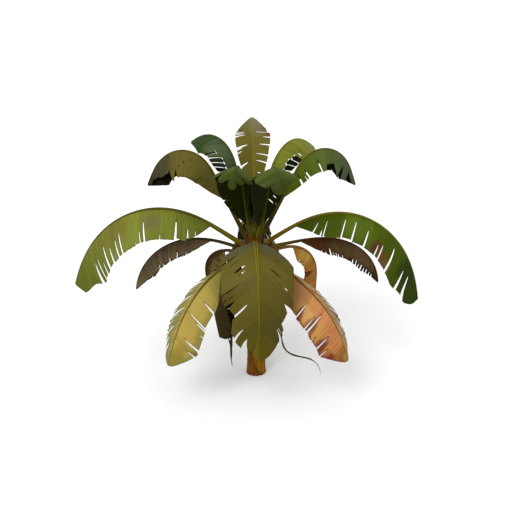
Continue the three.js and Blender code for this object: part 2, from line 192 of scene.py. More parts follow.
# %% The leaf table
TYPICAL = dict(
    turn=0, stalk=0.24, foot=0.35, tip=0.4, taper=0.6, point=0.3, hook=0, girth=1.0,
    rips=((), ()), nicks=((9, 0.3), (9, 0.3)), slots=((), ()), lean=((0, 0), (0, 0)),
    sink=((0, 0, 1), (0, 0, 1)), sag=0.05, fray=0.01, nodes=("blade",),
    stalk_slot="stalk_green",
)
SPLIT = ("inner_blade", "outer_blade")
DRIED = dict(girth=0.75, stalk_slot="stalk_dry")
LEAVES = {
    "back_upright": dict(
        heading=96, turn=-2, launch=84, fall=50, bend=(0.3, 1.2), height=1.470,
        length=1.008, stalk=0.3, halves=(0.168, 0.160), droop=(-12, -12), foot=0.75,
        tip=0.45, taper=0.9, slot="blade_olive", look="olive_upright",
        lean=((-0.10, -0.16), (-0.06, -0.12)), nicks=((4, 0.12), (4, 0.12)),
        rips=(
            ((0.345, 0.35, 14), (0.49, 0.65, 8), (0.525, 0.60, 10), (0.54, 0.30, 14),
             (0.665, 0.45, 10), (0.69, 0.50, 8), (0.71, 0.55, 8)),
            ((0.255, 0.30, 12), (0.385, 0.15, 10), (0.465, 0.15, 9), (0.575, 0.35, 9),
             (0.66, 0.55, 8), (0.725, 0.20, 9)),
        ),
        point=0.75,
    ),
    "back_left": dict(
        heading=145, launch=76, fall=-38, bend=(0.46, 1.0), height=1.414, length=1.288,
        stalk=0.3, halves=(0.208, 0.220), droop=(38, 55), foot=0.4, tip=0.42,
        nodes=SPLIT, slot="blade_dark", look="dark_sheen",
        lean=((-0.05, 0.28), (0, 0)), nicks=((2, 0.2), (8, 0.3)),
        rips=(
            ((0.24, 0.45, 6, 0, 178), (0.30, 0.45, 9, 0, 182), (0.365, 0.45, 8, 0, 178),
             (0.44, 0.45, 9, 0, 182), (0.51, 0.50, 8, 0, 178), (0.56, 0.55, 10)),
            ((0.40, 0.30, 24), (0.52, 0.35, 22), (0.66, 0.35, 24)),
        ),
        point=0.9,
    ),
    "back_right": dict(
        heading=48, launch=75, fall=-38, bend=(0.36, 0.98), height=1.385, length=1.350,
        stalk=0.3, halves=(0.215, 0.208), droop=(55, 38), foot=0.4, tip=0.35,
        nodes=SPLIT, slot="blade_lime", look="lime_young",
        lean=((0, 0), (-0.02, 0.05)), nicks=((8, 0.3), (2, 0.2)),
        rips=(
            ((0.40, 0.35, 24), (0.54, 0.35, 22), (0.70, 0.35, 24)),
            ((0.17, 0.55, 5, 0, 180), (0.24, 0.55, 8, 0, 178), (0.31, 0.50, 8, 0, 182),
             (0.38, 0.50, 8, 0, 178), (0.46, 0.60, 8)),
        ),
        slots=((), ((0.50, 0.60, 0.90, 14), (0.56, 0.50, 0.75, 10))),
        point=0.6,
    ),
    "high_left": dict(
        heading=191.5, turn=-10, launch=65, fall=-68, bend=(0.44, 0.965), height=1.384,
        length=1.554, stalk=0.28, halves=(0.258, 0.230), droop=(43, 46), foot=0.4,
        tip=(0.3, 0.28), girth=1.15, nodes=SPLIT, slot="blade_olive", look="olive_high",
        lean=((0, 0.05), (0, 0.05)), nicks=((3, 0.06), (12, 0.25)), fray=0.015,
        slots=(((0.50, 0.30, 0.40, 12), (0.55, 0.42, 0.52, 14), (0.60, 0.55, 0.65, 14),
                (0.65, 0.66, 0.80, 14), (0.70, 0.55, 0.63, 10)), ()),
        sink=((0, 0, 1), (80, 0.4, 0.72)),
        rips=(
            ((0.64, 0.70, 8, 0.75), (0.72, 0.55, 6, 0.8), (0.84, 0.40, 6, 0.85),
             (0.92, 0.30, 6, 0.9)),
            (),
        ),
        point=(0.8, 1),
    ),
    "high_right": dict(
        heading=350, turn=18, launch=64, fall=-72, bend=(0.45, 0.94), height=1.420,
        length=1.515, stalk=0.27, halves=(0.200, 0.222), droop=(48, 44), foot=0.5,
        tip=(0.32, 0.4), girth=1.15, nodes=SPLIT, slot="blade_green", look="green_high",
        lean=((0, 0), (-0.10, 0.05)), nicks=((8, 0.3), (5, 0.12)),
        rips=(
            (),
            ((0.195, 0.10, 16), (0.245, 0.70, 10), (0.275, 0.40, 16), (0.44, 0.35, 20, 0),
             (0.54, 0.65, 14, 0.8), (0.64, 0.50, 8, 0.85), (0.75, 0.40, 8, 0.85),
             (0.86, 0.30, 10, 0.85)),
        ),
        sink=((80, 0.35, 0.68), (0, 0, 1)),
        point=(1, 0.7),
    ),
    "front_rising_left": dict(
        heading=246, turn=16, launch=69, fall=-95, bend=(0.56, 1.12), height=1.395,
        length=1.245, stalk=0.14, halves=(0.200, 0.225), droop=(48, 26), foot=(0.3, 0.46),
        tip=0.3, nodes=SPLIT, slot="blade_dark", look="dark_rising",
        rips=(
            ((0.60, 0.5, 14), (0.84, 0.20, 8, 0.3), (0.93, 0.15, 6, 0.7)),
            ((0.45, 0.6, 4), (0.80, 0.30, 10, 0.4), (0.90, 0.15, 6, 0.8)),
        ),
        point=0.8,
    ),
    "front_rising_right": dict(
        heading=296, turn=-18, launch=67, fall=-90, bend=(0.54, 1.1), height=1.395,
        length=1.300, stalk=0.14, halves=(0.170, 0.212), droop=(26, 20), foot=(0.6, 0.3),
        tip=0.3, nodes=SPLIT, slot="blade_dark", look="dark_rising",
        lean=((-0.10, -0.10), (0, 0)),
        slots=(((0.21, 0.10, 0.60, 12), (0.27, 0.35, 0.66, 10), (0.33, 0.38, 0.68, 11)),
               ()),
        rips=(
            ((0.55, 0.6, 12), (0.88, 0.30, 8, 0.5)),
            ((0.62, 0.5, 14), (0.72, 0.4, 12), (0.90, 0.30, 8, 0.5)),
        ),
        point=0.6,
    ),
    "left_long": dict(
        heading=190, turn=10, launch=37, fall=-75.5, bend=(0.13, 1.07), height=1.318,
        length=1.995, stalk=0.2, halves=(0.312, 0.340), droop=(36, 36), foot=(0.155, 0.14),
        tip=(0.26, 0.3), taper=0.5, nodes=SPLIT, slot="blade_lime", look="lime_long",
        lean=((-0.06, 0.10), (-0.04, 0.06)), nicks=((3, 0.06), (9, 0.3)),
        rips=(
            ((0.07, 0.65, 10), (0.115, 0.55, 12), (0.195, 0.30, 16), (0.30, 0.85, 10),
             (0.41, 0.40, 18), (0.44, 0.65, 10), (0.475, 0.90, 8), (0.585, 0.40, 18),
             (0.62, 0.50, 18), (0.645, 0.80, 9), (0.67, 0.55, 14), (0.72, 0.35, 18),
             (0.755, 0.65, 9), (0.795, 0.45, 18), (0.825, 0.45, 20)),
            ((0.2, 0.6, 12), (0.36, 0.4, 16), (0.55, 0.5, 16), (0.7, 0.45, 18)),
        ),
        point=(1, 0.8),
        girth=1.1,
        hook=(0.6, 0.2),
    ),
    "right_long": dict(
        heading=348, turn=-16, launch=36.5, fall=-82, bend=(0.1, 1.05), height=1.345,
        length=1.945, stalk=0.185, halves=(0.302, 0.270), droop=(36, 36), foot=(0.36, 0.24),
        tip=(0.3, 0.32), taper=0.45, nodes=SPLIT, slot="blade_deep", look="deep_long",
        lean=((-0.05, 0.08), (-0.10, 0.12)), nicks=((9, 0.3), (2, 0.06)),
        rips=(
            ((0.25, 0.5, 14), (0.42, 0.4, 16), (0.6, 0.55, 14), (0.76, 0.5, 18)),
            ((0.10, 0.35, 14), (0.145, 0.70, 12), (0.165, 0.30, 15), (0.29, 0.25, 18),
             (0.365, 0.25, 16), (0.46, 0.40, 20), (0.555, 0.60, 14), (0.59, 0.50, 18),
             (0.685, 0.25, 30), (0.83, 0.35, 26), (0.90, 0.25, 34)),
        ),
        point=(0.7, 0.35),
        hook=(0.2, 0.3),
    ),
    "front_big": dict(
        heading=270, turn=9, launch=48, fall=-96, bend=(-0.1, 0.85), height=1.345,
        length=1.570, stalk=0.14, halves=(0.335, 0.335), droop=(20, 20), foot=(0.27, 0.2),
        tip=(0.5, 0.38), taper=0.55, nodes=SPLIT, slot="blade_olive", look="olive_front",
        lean=((0.10, 0.24), (0.08, 0.12)), nicks=((1, 0.1), (0, 0.1)),
        rips=(
            ((0.36, 0.75, 8, 0), (0.49, 0.70, 10, 0.35), (0.61, 0.70, 20, 0.6),
             (0.735, 0.50, 34, 0.25), (0.79, 0.70, 8), (0.81, 0.60, 14), (0.83, 0.60, 14)),
            ((0.225, 0.45, 20), (0.47, 0.50, 14, 0.10), (0.52, 0.60, 9, 0.16),
             (0.56, 0.60, 16, 0.50), (0.64, 0.30, 40, 0.42), (0.80, 0.40, 40, 0.30),
             (0.88, 0.40, 34, 0.6), (0.93, 0.10, 6, 0.8)),
        ),
        slots=(
            ((0.28, 0.33, 0.40, 9), (0.30, 0.50, 0.62, 12), (0.44, 0.32, 0.62, 22),
             (0.50, 0.50, 0.64, 10)),
            ((0.29, 0.35, 0.80, 8), (0.37, 0.32, 0.62, 26), (0.41, 0.34, 0.50, 12)),
        ),
        point=(0.25, 0.9),
        girth=0.95,
    ),
    "back_long": dict(
        heading=90, turn=3, launch=22, fall=-92, bend=(0.02, 1.0), height=1.325,
        length=1.620, stalk=0.16, halves=(0.290, 0.290), droop=(56, 56), foot=0.4,
        tip=0.3, nodes=SPLIT, slot="blade_lime", look="lime_back",
        nicks=((16, 0.5), (16, 0.5)),
    ),
    "left_brown": dict(
        DRIED, heading=180, turn=12, launch=21.5, fall=-110, bend=(0.03, 1.4), height=1.276,
        length=1.285, stalk=0.26, halves=(0.155, 0.140), droop=(60, 68), foot=0.3,
        tip=0.45, slot="blade_brown", look="brown_left",
        nicks=((14, 0.25), (12, 0.3)), fray=0.05, lean=((0.03, 0.06), (0, 0)),
        rips=(((0.355, 0.60, 10), (0.445, 0.75, 10), (0.60, 0.70, 9)), ()),
        point=0.8,
    ),
    "right_brown": dict(
        DRIED, heading=0, launch=12, fall=-115, bend=(0.21, 1.35), height=1.302,
        length=1.310, stalk=0.26, halves=(0.140, 0.165), droop=(68, 58), foot=0.3,
        tip=0.45, slot="blade_brown", look="brown_right",
        nicks=((12, 0.3), (14, 0.25)), fray=0.05, lean=((0, 0), (0.02, 0.08)),
        rips=((), ((0.275, 0.60, 16), (0.36, 0.80, 12), (0.55, 0.75, 16), (0.60, 0.66, 14),
                    (0.645, 0.74, 14), (0.69, 0.62, 18), (0.735, 0.7, 16), (0.78, 0.62, 18),
                    (0.825, 0.70, 16), (0.87, 0.64, 16))),
        point=0.8,
    ),
    "low_left_yellow": dict(
        heading=219, turn=7, launch=30, fall=-78, bend=(-0.6, 1.2), height=1.255,
        length=1.335, halves=(0.236, 0.215), droop=(38, 22), foot=0.36,
        tip=(0.36, 0.4), taper=0.5, slot="blade_yellow", look="yellow_low",
        lean=((0.02, 0.03), (0.05, 0.15)), nicks=((3, 0.08), (22, 0.8, 45)),
        rips=(
            ((0.34, 0.45, 18), (0.505, 0.15, 16), (0.525, 0.55, 14), (0.585, 0.80, 9),
             (0.715, 0.35, 18), (0.785, 0.60, 12)),
            (),
        ),
        point=(0.75, 0.6),
        girth=0.68,
    ),
    "low_right_orange": dict(
        DRIED, heading=314, turn=12, launch=-14, fall=-112, bend=(0.08, 1.6), height=1.290,
        length=1.340, halves=(0.172, 0.256), droop=(22, 38), foot=0.36,
        tip=(0.4, 0.36), taper=0.5, slot="blade_orange", look="orange_low",
        lean=((0.05, 0.15), (-0.02, 0.02)), nicks=((9, 0.4, 20), (4, 0.1)),
        rips=(
            ((0.34, 0.55, 22), (0.41, 0.50, 26), (0.47, 0.45, 24), (0.53, 0.50, 28),
             (0.59, 0.40, 26), (0.65, 0.50, 30), (0.71, 0.45, 26), (0.77, 0.50, 28),
             (0.83, 0.45, 24), (0.89, 0.50, 20)),
            ((0.345, 0.40, 16), (0.475, 0.50, 14), (0.51, 0.25, 20), (0.69, 0.45, 16),
             (0.77, 0.65, 12), (0.60, 0.85, 8)),
        ),
        point=(0.6, 0.75),
        girth=0.7,
    ),
    "left_hanging": dict(
        DRIED, heading=165, turn=6, launch=4, fall=-100, bend=(0.08, 0.5), height=1.238,
        length=1.250, stalk=0.17, halves=(0.165, 0.200), droop=(76, 76), foot=0.05,
        tip=0.14, taper=0.4, slot="blade_brown",
        look="brown_hanging",
        nicks=((6, 0.5, 16), (14, 0.5)), fray=0.05, sag=0.15,
        rips=(
            ((0.03, 0.75, 16), (0.075, 0.6, 14), (0.12, 0.8, 12), (0.165, 0.55, 18),
             (0.21, 0.75, 14), (0.26, 0.6, 14), (0.31, 0.7, 12)),
            (),
        ),
    ),
    "right_hanging": dict(
        DRIED, heading=15, turn=-6, launch=10, fall=-92, bend=(0.1, 0.7), height=1.245,
        length=1.090, stalk=0.26, halves=(0.115, 0.140), droop=(68, 68), foot=0.1,
        tip=0.5, taper=0.9, slot="blade_orange",
        look="orange_hanging",
        nicks=((12, 0.45), (10, 0.35)), fray=0.04, sag=0.12,
    ),
    "back_left_dry": dict(
        DRIED, heading=114, turn=-6, launch=8, fall=-96, bend=(-0.1, 0.8), height=1.262,
        length=1.240, halves=(0.135, 0.125), droop=(50, 50), slot="blade_brown",
        look="brown_hanging",
    ),
    "back_right_dry": dict(
        DRIED, heading=67, turn=6, launch=8, fall=-96, bend=(-0.1, 0.8), height=1.280,
        length=1.200, halves=(0.125, 0.135), droop=(50, 50), slot="blade_yellow",
        look="yellow_low",
    ),
}
for name, own in LEAVES.items():
    made = {**TYPICAL, **own, "name": name}
    for key in ("foot", "tip", "point", "hook"):
        if not isinstance(made[key], tuple):
            made[key] = (made[key],) * 2
    LEAVES[name] = made
print(f"{len(LEAVES)} leaves")

# %% [markdown]
# ## The line of a rib
# A rib could be a curve object, but the blades need to know, at every point of it, which
# way is along, sideways and up. So the rib is summed up from short straight steps, the way
# a surveyor walks a road, and each step keeps those three directions.

# %% The line of a rib
RIB_STEPS = 120
STEM_LEAN = 0.012
STEM_PROFILE = (
    (0, 0.092), (0.060, 0.086), (0.220, 0.082), (0.520, 0.078), (0.820, 0.074),
    (1.080, 0.071), (1.240, 0.072), (1.340, 0.066), (1.430, 0.048), (1.500, 0.026),
    (1.530, 0.008),
)
STEM_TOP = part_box("pseudostem")[1].z


def smooth(x, low=0.0, high=1.0):
    """0 below low, 1 above high and a smooth S between."""
    x = np.clip((x - low) / (high - low), 0, 1)
    return x * x * (3 - 2 * x)


def lerp(a, b, share):
    return a + (b - a) * share


def unit(vectors):
    return vectors / np.linalg.norm(vectors, axis=-1, keepdims=True)


def heading_vector(degrees):
    turn = np.radians(degrees)
    return np.stack([np.cos(turn), np.sin(turn), turn * 0], -1)


def stem_middle(z):
    return np.array([-STEM_LEAN * (z / STEM_TOP) ** 2, 0, z])


def stem_radius(z):
    heights, radii = zip(*STEM_PROFILE)
    return np.interp(z, heights, radii)


def rib_line(leaf):
    """Points, directions and cross axes along a leaf's rib, from the stem to its tip."""
    share = np.arange(RIB_STEPS + 1) / RIB_STEPS
    heading = leaf["heading"] + leaf["turn"] * share
    bent = smooth(share, *leaf["bend"])
    rise = np.radians(lerp(leaf["launch"], leaf["fall"], bent))[:, None]
    along = heading_vector(heading) * np.cos(rise) + np.sin(rise) * np.array([0, 0, 1])
    side = heading_vector(heading + 90)
    z = leaf["height"]
    start = stem_middle(z) + heading_vector(leaf["heading"]) * stem_radius(z)
    steps = along[:-1] * leaf["length"] / RIB_STEPS
    points = start + np.vstack([np.zeros(3), np.cumsum(steps, axis=0)])
    return points, along, side, np.cross(along, side)


def on_rib(rib, share):
    """Point, along, side and up of a rib at shares of its length, straight past its tip."""
    place = np.asarray(share) * RIB_STEPS
    i = np.clip(np.floor(place), 0, RIB_STEPS - 1).astype(int)
    rest = (place - i)[..., None]
    point, along, side, up = (line[i] + (line[i + 1] - line[i]) * rest for line in rib)
    return point, unit(along), unit(side), unit(up)


RIBS = {name: rib_line(leaf) for name, leaf in LEAVES.items()}
for name in ("left_long", "front_big"):
    print(name, "rib tip at", RIBS[name][0][-1].round(2))

# %% [markdown]
# ## The surface of a half blade
# Side veins leave the rib and sweep towards the tip, more so near the tip, and tears follow
# them. So a place on a half blade is told by two shares: `t`, where its vein leaves the
# rib, and `u`, how far out it lies on that vein. The half hangs a little less beside the
# rib than at its margin, and its arc is worked out exactly, so no width is lost.

# %% The surface of a half blade
END_HALF_WIDTH = 0.010
DROOP_SPREAD = 0.3
SWEEP_FOOT, SWEEP_TIP = 0.1, 0.5
HOOK_START, HOOK_END = 0.87, 0.93
STRAIGHT_END = 1.5


def width_share(leaf, half, t):
    opening = np.sin(np.pi / 2 * np.minimum(t / leaf["foot"][half], 1))
    left = np.clip((1 - t) / leaf["tip"][half], 0, 1)
    rounded = np.sin(np.pi / 2 * left) ** leaf["taper"]
    straight = np.minimum(left * STRAIGHT_END, 1)
    return opening * lerp(rounded, straight, leaf["point"][half])


def half_width(leaf, half, t):
    return lerp(END_HALF_WIDTH, leaf["halves"][half], width_share(leaf, half, t))


def on_blade(leaf, half, t, u):
    """Points and upward normals of a half blade at vein shares t and width shares u."""
    sign = 1 - 2 * half
    width = half_width(leaf, half, t)
    hooked = leaf["hook"][half] * smooth(t, HOOK_START, HOOK_END)
    sweep = (lerp(SWEEP_FOOT, SWEEP_TIP, t) + hooked) * width * u / leaf["length"]
    share = leaf["stalk"] + (1 - leaf["stalk"]) * t + sweep
    point, along, side, up = on_rib(RIBS[leaf["name"]], share)
    extra, low, high = leaf["sink"][half]
    droop = leaf["droop"][half] + extra * smooth(t, low, high)
    start = np.radians(droop * (1 - DROOP_SPREAD))
    gain = np.radians(droop * 2 * DROOP_SPREAD)
    end = start + gain * u
    out = (width * (np.sin(end) - np.sin(start)) / gain)[..., None]
    down = (width * (np.cos(start) - np.cos(end)) / gain)[..., None]
    point = point + side * out * sign - up * down
    normal = up * np.cos(end)[..., None] + side * sign * np.sin(end)[..., None]
    return point, normal


reach = [on_blade(LEAVES["front_big"], half, np.array(0.4), 1.0)[0] for half in (0, 1)]
print("front_big is", np.linalg.norm(reach[0] - reach[1]).round(2), "m across as it hangs")

# %% [markdown]
# ## Torn halves
# A tear could be cut with a boolean, which is slow and leaves ragged faces. Here each half
# blade is laid out as fingers between its tears from the start. Neighbouring fingers share
# their points from the rib out to where the tear begins, and beyond it each has points of
# its own: they stand a gap apart, and each finger may sag, twist or end short by itself.

# %% Torn halves
ROWS = 20
COLUMN = 0.011
RIBBING, RIBBING_PITCH, RIBBING_WANDER = 0.0008, 0.042, 9
WAVE, WAVE_RATE = 0.010, 14
FRAY_RATE, FRAY_FROM = 90, 0.8
FLAT_BY_RIB = 0.15
FULL_RELIEF = 0.15
FOLD = 0.05
MOST_LOSS = 0.10
TORN_REACH, TORN_BEFORE = 0.016, 0.06
CLEAR = 0.02
NICKS_FROM, NICKS_TO, NICK_GAP = 0.05, 0.97, 12
OPENING_POWER, SLIT_POWER, SAG_POWER = 0.5, 0.7, 1.5


def rough(x, seed):
    """A smooth wandering line between about -1 and 1."""
    phases = np.random.default_rng(seed).uniform(0, 2 * np.pi, 4)
    rates = (1.0, 1.83, 3.1, 5.3)
    waves = (np.sin(rate * x + phase) for rate, phase in zip(rates, phases))
    return sum(wave / (1 + k) for k, wave in enumerate(waves)) / 2


def tears_of(leaf, half, rng):
    """The tears of a half: place, inner end, gap, and the next finger's loss and turn."""
    full_rips = ((*rip, *(None, 0)[len(rip) - 3 :]) for rip in leaf["rips"][half])
    tears = [(t, tip, gap / 1000, loss, turn) for t, tip, gap, loss, turn in full_rips]
    count, deepest, widest = (*leaf["nicks"][half], NICK_GAP)[:3]
    clear = CLEAR / leaf["length"] / (1 - leaf["stalk"])
    for t in np.linspace(NICKS_FROM, NICKS_TO, count + 2)[1:-1]:
        t = t + rng.uniform(-0.4, 0.4) * 0.9 / (count + 1)
        tip = 1 - deepest * rng.uniform(0.2, 1)
        gap = rng.uniform(0.25, 1) * widest / 1000
        if all(abs(t - other[0]) > clear for other in tears):
            tears.append((t, tip, gap, None, 0))
    on_row = lambda tip: min(max(round(tip * ROWS), 1), ROWS - 1) / ROWS
    tears = [(t, on_row(tip), *rest) for t, tip, *rest in tears]
    return sorted(tears, key=lambda tear: tear[0])


def vein_line(leaf, half, place, u):
    """Vein shares t at width shares u of the vein that meets the margin at a place."""
    lean = lerp(*leaf["lean"][half], place) if 0 < place < 1 else 0
    return place - lean * (1 - u)


def fingers_of(leaf, half, rng):
    """Grids of one half: shares t, u and place, sag, turn, nearness to a tear, and lot."""
    blade_length = leaf["length"] * (1 - leaf["stalk"])
    closed = (1.0, 0.0, None, 0)
    tears = [(0.0, *closed), *tears_of(leaf, half, rng), (1.0, *closed)]
    u = np.linspace(0, 1, ROWS + 1)
    for a, b in zip(tears, tears[1:]):
        inside = [s for s in leaf["slots"][half] if a[0] < s[0] < b[0]]
        stops = [0.0] + [(s[0] - a[0]) / (b[0] - a[0]) for s in inside] + [1.0]
        sag = leaf["sag"] * rng.uniform(-0.4, 1.0)
        twist = leaf["sag"] * rng.uniform(-1.0, 1.0)
        loss = MOST_LOSS * rng.random() ** 2
        loss = loss if a[3] is None else a[3]
        lot = rng.random()
        beyond = lambda tip: np.clip((u - tip) / max(1 - tip, 1e-6), 0, 1)
        open_a, open_b = (
            gap / 2 / blade_length * beyond(tip) ** OPENING_POWER
            for _, tip, gap, *_ in (a, b)
        )
        left = vein_line(leaf, half, a[0], u) + open_a
        right = vein_line(leaf, half, b[0], u) - open_b
        for k, (low, high) in enumerate(zip(stops, stops[1:])):
            count = max(2, round((b[0] - a[0]) * (high - low) * blade_length / COLUMN))
            s = np.linspace(low, high, count + 1)[:, None]
            t = left * (1 - s) + right * s
            for sign, at in ((1, k - 1), (-1, k)):
                if 0 <= at < len(inside):
                    _, inner, outer, gap = inside[at]
                    open_share = np.clip((u - inner) / (outer - inner), 0, 1)
                    bulge = np.sin(np.pi * open_share) ** SLIT_POWER
                    bulge = bulge * gap / 2000 / blade_length
                    near = (high - s if sign < 0 else s - low) / (high - low)
                    t = t + sign * bulge * (1 - near)
            tip = a[1] + (b[1] - a[1]) * s
            free = np.clip((u - tip) / np.maximum(1 - tip, 1e-6), 0, 1)
            reach = np.where(u > tip, tip + (u - tip) * (1 - loss), u)
            middle = (left + right) / 2
            roll = np.radians(a[4]) * smooth(u, max(a[1], b[1]), max(a[1], b[1]) + FOLD)
            turned = (t - middle) * np.sin(roll) * blade_length
            t = middle + (t - middle) * np.cos(roll)
            bow = (sag * free**SAG_POWER + twist * (s - 0.5) * free) * (tip < 1)
            width = (b[0] - a[0]) * blade_length
            from_a = np.where((u > a[1] - TORN_BEFORE) & (a[1] < 1), s * width, 1.0)
            from_b = np.where((u > b[1] - TORN_BEFORE) & (b[1] < 1), (1 - s) * width, 1.0)
            torn = np.exp(-np.minimum(from_a, from_b) / TORN_REACH)
            full = np.ones_like(t)
            place_on = (a[0] + (b[0] - a[0]) * s) * full
            yield t, reach * full, place_on, bow * full, turned, torn, lot


def half_sheet(leaf, half, rng):
    """Top points, quads and their data of a whole torn half, welded between fingers."""
    points, quads, plane, share, torn, lots = [], [], [], [], [], []
    blade_length = leaf["length"] * (1 - leaf["stalk"])
    seed = int(leaf["heading"] * 10) + half
    offset = 0
    for t, u, place_on, bow, turned, near, lot in fingers_of(leaf, half, rng):
        x = place_on * blade_length
        frayed = leaf["fray"] * (rough(x * FRAY_RATE, seed) - 1) / 2
        u = u * (1 + frayed * smooth(u, FRAY_FROM, 1.0))
        point, normal = on_blade(leaf, half, t, u)
        width = half_width(leaf, half, t)
        flat = smooth(u, 0.0, FLAT_BY_RIB) * np.minimum(width / FULL_RELIEF, 1)
        wander = 2 * rough(x * RIBBING_WANDER, seed)
        ribbing = RIBBING * np.sin(2 * np.pi * x / RIBBING_PITCH + wander)
        wave = WAVE * rough(x * WAVE_RATE, seed + 7) * u**2
        lift = (ribbing + wave) * flat - bow * width + turned
        point = point + normal * lift[..., None]
        rows, columns = t.shape
        grid = offset + np.arange(rows * columns).reshape(rows, columns)
        corners = [grid[:-1, :-1], grid[1:, :-1], grid[1:, 1:], grid[:-1, 1:]]
        quads.append(np.stack(corners, -1).reshape(-1, 4))
        lots.append(np.full(len(quads[-1]), lot))
        points.append(point.reshape(-1, 3))
        plane.append(np.stack([x, width * u * (1 - 2 * half)], -1).reshape(-1, 2))
        share.append(np.stack([t, u * (1 - 2 * half)], -1).reshape(-1, 2))
        torn.append(near.reshape(-1))
        offset += rows * columns
    points, quads = np.vstack(points), np.vstack(quads)
    if half:
        quads = quads[:, ::-1]
    places = points.round(7)
    _, first, index = np.unique(places, axis=0, return_index=True, return_inverse=True)
    quads = index.reshape(-1)[quads]
    data = {
        "plane": np.vstack(plane)[first],
        "share": np.vstack(share)[first],
        "torn": np.concatenate(torn)[first],
    }
    return points[first], quads, data, np.concatenate(lots)


trial = list(fingers_of(LEAVES["front_big"], 0, np.random.default_rng(0)))
print("front_big's left half has", len(trial), "pieces between tears and slits")

# %% [markdown]
# ## From a sheet to a leaf with two faces
# Blender's Solidify modifier could give the sheet its thickness. Doing it in code keeps the
# data of each point and lets the upper face and the underside have their own finishes,
# which matters because the two faces of a banana leaf differ so much. The cut edges take
# the upper face's finish.

# %% From a sheet to a leaf with two faces
LAMINA = 0.0016
TOP_FACE, UNDER_FACE = 0, 1
RIM_LOT = 0.5
SHARP = math.radians(50)


def point_normals(points, quads):
    corners = points[quads]
    face = np.cross(corners[:, 2] - corners[:, 0], corners[:, 3] - corners[:, 1])
    total = np.zeros_like(points)
    for k in range(4):
        np.add.at(total, quads[:, k], face)
    return total / np.maximum(np.linalg.norm(total, axis=1, keepdims=True), 1e-12)


def open_edges(quads):
    """Edges that only one quad uses, in that quad's own direction."""
    edges = np.vstack([quads[:, [k, (k + 1) % 4]] for k in range(4)])
    keys = np.sort(edges, axis=1)
    _, index, count = np.unique(keys, axis=0, return_inverse=True, return_counts=True)
    return edges[count[index.reshape(-1)] == 1]


def thicken(points, quads, thickness):
    """A closed body of a sheet: top, then underside, then rim quads."""
    below = points - point_normals(points, quads) * thickness
    n = len(points)
    rim = open_edges(quads)
    rim = np.column_stack([rim[:, 1], rim[:, 0], rim[:, 0] + n, rim[:, 1] + n])
    return np.vstack([points, below]), np.vstack([quads, quads[:, ::-1] + n, rim])


def mesh_object(
    name, points, quads, materials, face_kind=None, layers=(), floats=(), lots=None
):
    """A Blender mesh from arrays, with UV layers by point and numbers by point or face."""
    mesh = bpy.data.meshes.new(name)
    mesh.vertices.add(len(points))
    mesh.vertices.foreach_set("co", points.astype(np.float32).ravel())
    mesh.loops.add(quads.size)
    mesh.loops.foreach_set("vertex_index", quads.astype(np.int32).ravel())
    mesh.polygons.add(len(quads))
    mesh.polygons.foreach_set("loop_start", np.arange(0, quads.size, 4, dtype=np.int32))
    kinds = np.zeros(len(quads)) if face_kind is None else face_kind
    mesh.polygons.foreach_set("material_index", kinds.astype(np.int32))
    for key, values in dict(layers).items():
        layer = mesh.uv_layers.new(name=key)
        layer.uv.foreach_set("vector", values[quads.ravel()].astype(np.float32).ravel())
    for key, values in dict(floats).items():
        mesh.attributes.new(key, "FLOAT", "POINT")
        mesh.attributes[key].data.foreach_set("value", values.astype(np.float32))
    if lots is not None:
        mesh.attributes.new("lot", "FLOAT", "FACE")
        mesh.attributes["lot"].data.foreach_set("value", lots.astype(np.float32))
    mesh.update(calc_edges=True)
    mesh.validate()
    mesh.polygons.foreach_set("use_smooth", np.ones(len(mesh.polygons), bool))
    mesh.set_sharp_from_angle(angle=SHARP)
    for material in materials:
        mesh.materials.append(material)
    made = bpy.data.objects.new(name, mesh)
    scene.collection.objects.link(made)
    return made


def blade_arrays(leaf, rng):
    """Both torn halves of a leaf as one set of arrays for mesh_object."""
    all_points, all_quads, kinds, lots = [], [], [], []
    layers = {"plane": [], "share": []}
    torn, offset = [], 0
    for half in (0, 1):
        points, quads, data, lot = half_sheet(leaf, half, rng)
        solid, faces = thicken(points, quads, LAMINA)
        counts = [len(quads), len(quads), len(faces) - 2 * len(quads)]
        kinds.append(np.repeat([TOP_FACE, UNDER_FACE, TOP_FACE], counts))
        lots.append(np.concatenate([lot, lot, np.full(counts[-1], RIM_LOT)]))
        for key, values in layers.items():
            values.append(np.vstack([data[key]] * 2))
        torn.append(np.concatenate([data["torn"]] * 2))
        all_points.append(solid)
        all_quads.append(faces + offset)
        offset += len(solid)
    return dict(
        points=np.vstack(all_points),
        quads=np.vstack(all_quads),
        face_kind=np.concatenate(kinds),
        layers={key: np.vstack(values) for key, values in layers.items()},
        floats={"torn": np.concatenate(torn)},
        lots=np.concatenate(lots),
    )


square = np.array([[0, 0, 0], [1, 0, 0], [1, 1, 0], [0, 1, 0]], float)
solid, faces = thicken(square, np.array([[0, 1, 2, 3]]), LAMINA)
print("one quad becomes a closed body of", len(faces), "quads")

# %% [markdown]
# ## Midribs, stalks and their heels
# A banana leaf's stalk is a thick gutter, and its foot is the top of the sheath that it
# grew from. A curve with a bevel would give round stalks. Rings of points swept along the
# rib allow a groove above, a keel below, and a foot that spreads flat on the stem.

# %% Midribs, stalks and their heels
HEEL_LENGTH = 0.20
HEEL_END = 0.07
HEEL_RINGS = 14
HEEL_SINK = 0.003
HEEL_CURVE = 0.4
HEEL_WRAP = 1 / 0.15
RIB_RINGS = 80
ABOVE, BELOW = 0.42, 0.58
SECTION_ANGLES = np.arange(20) * 2 * np.pi / 20


def bezier(a, b, c, d, t):
    return a * (1 - t) ** 3 + 3 * b * t * (1 - t) ** 2 + 3 * c * t * t * (1 - t) + d * t**3


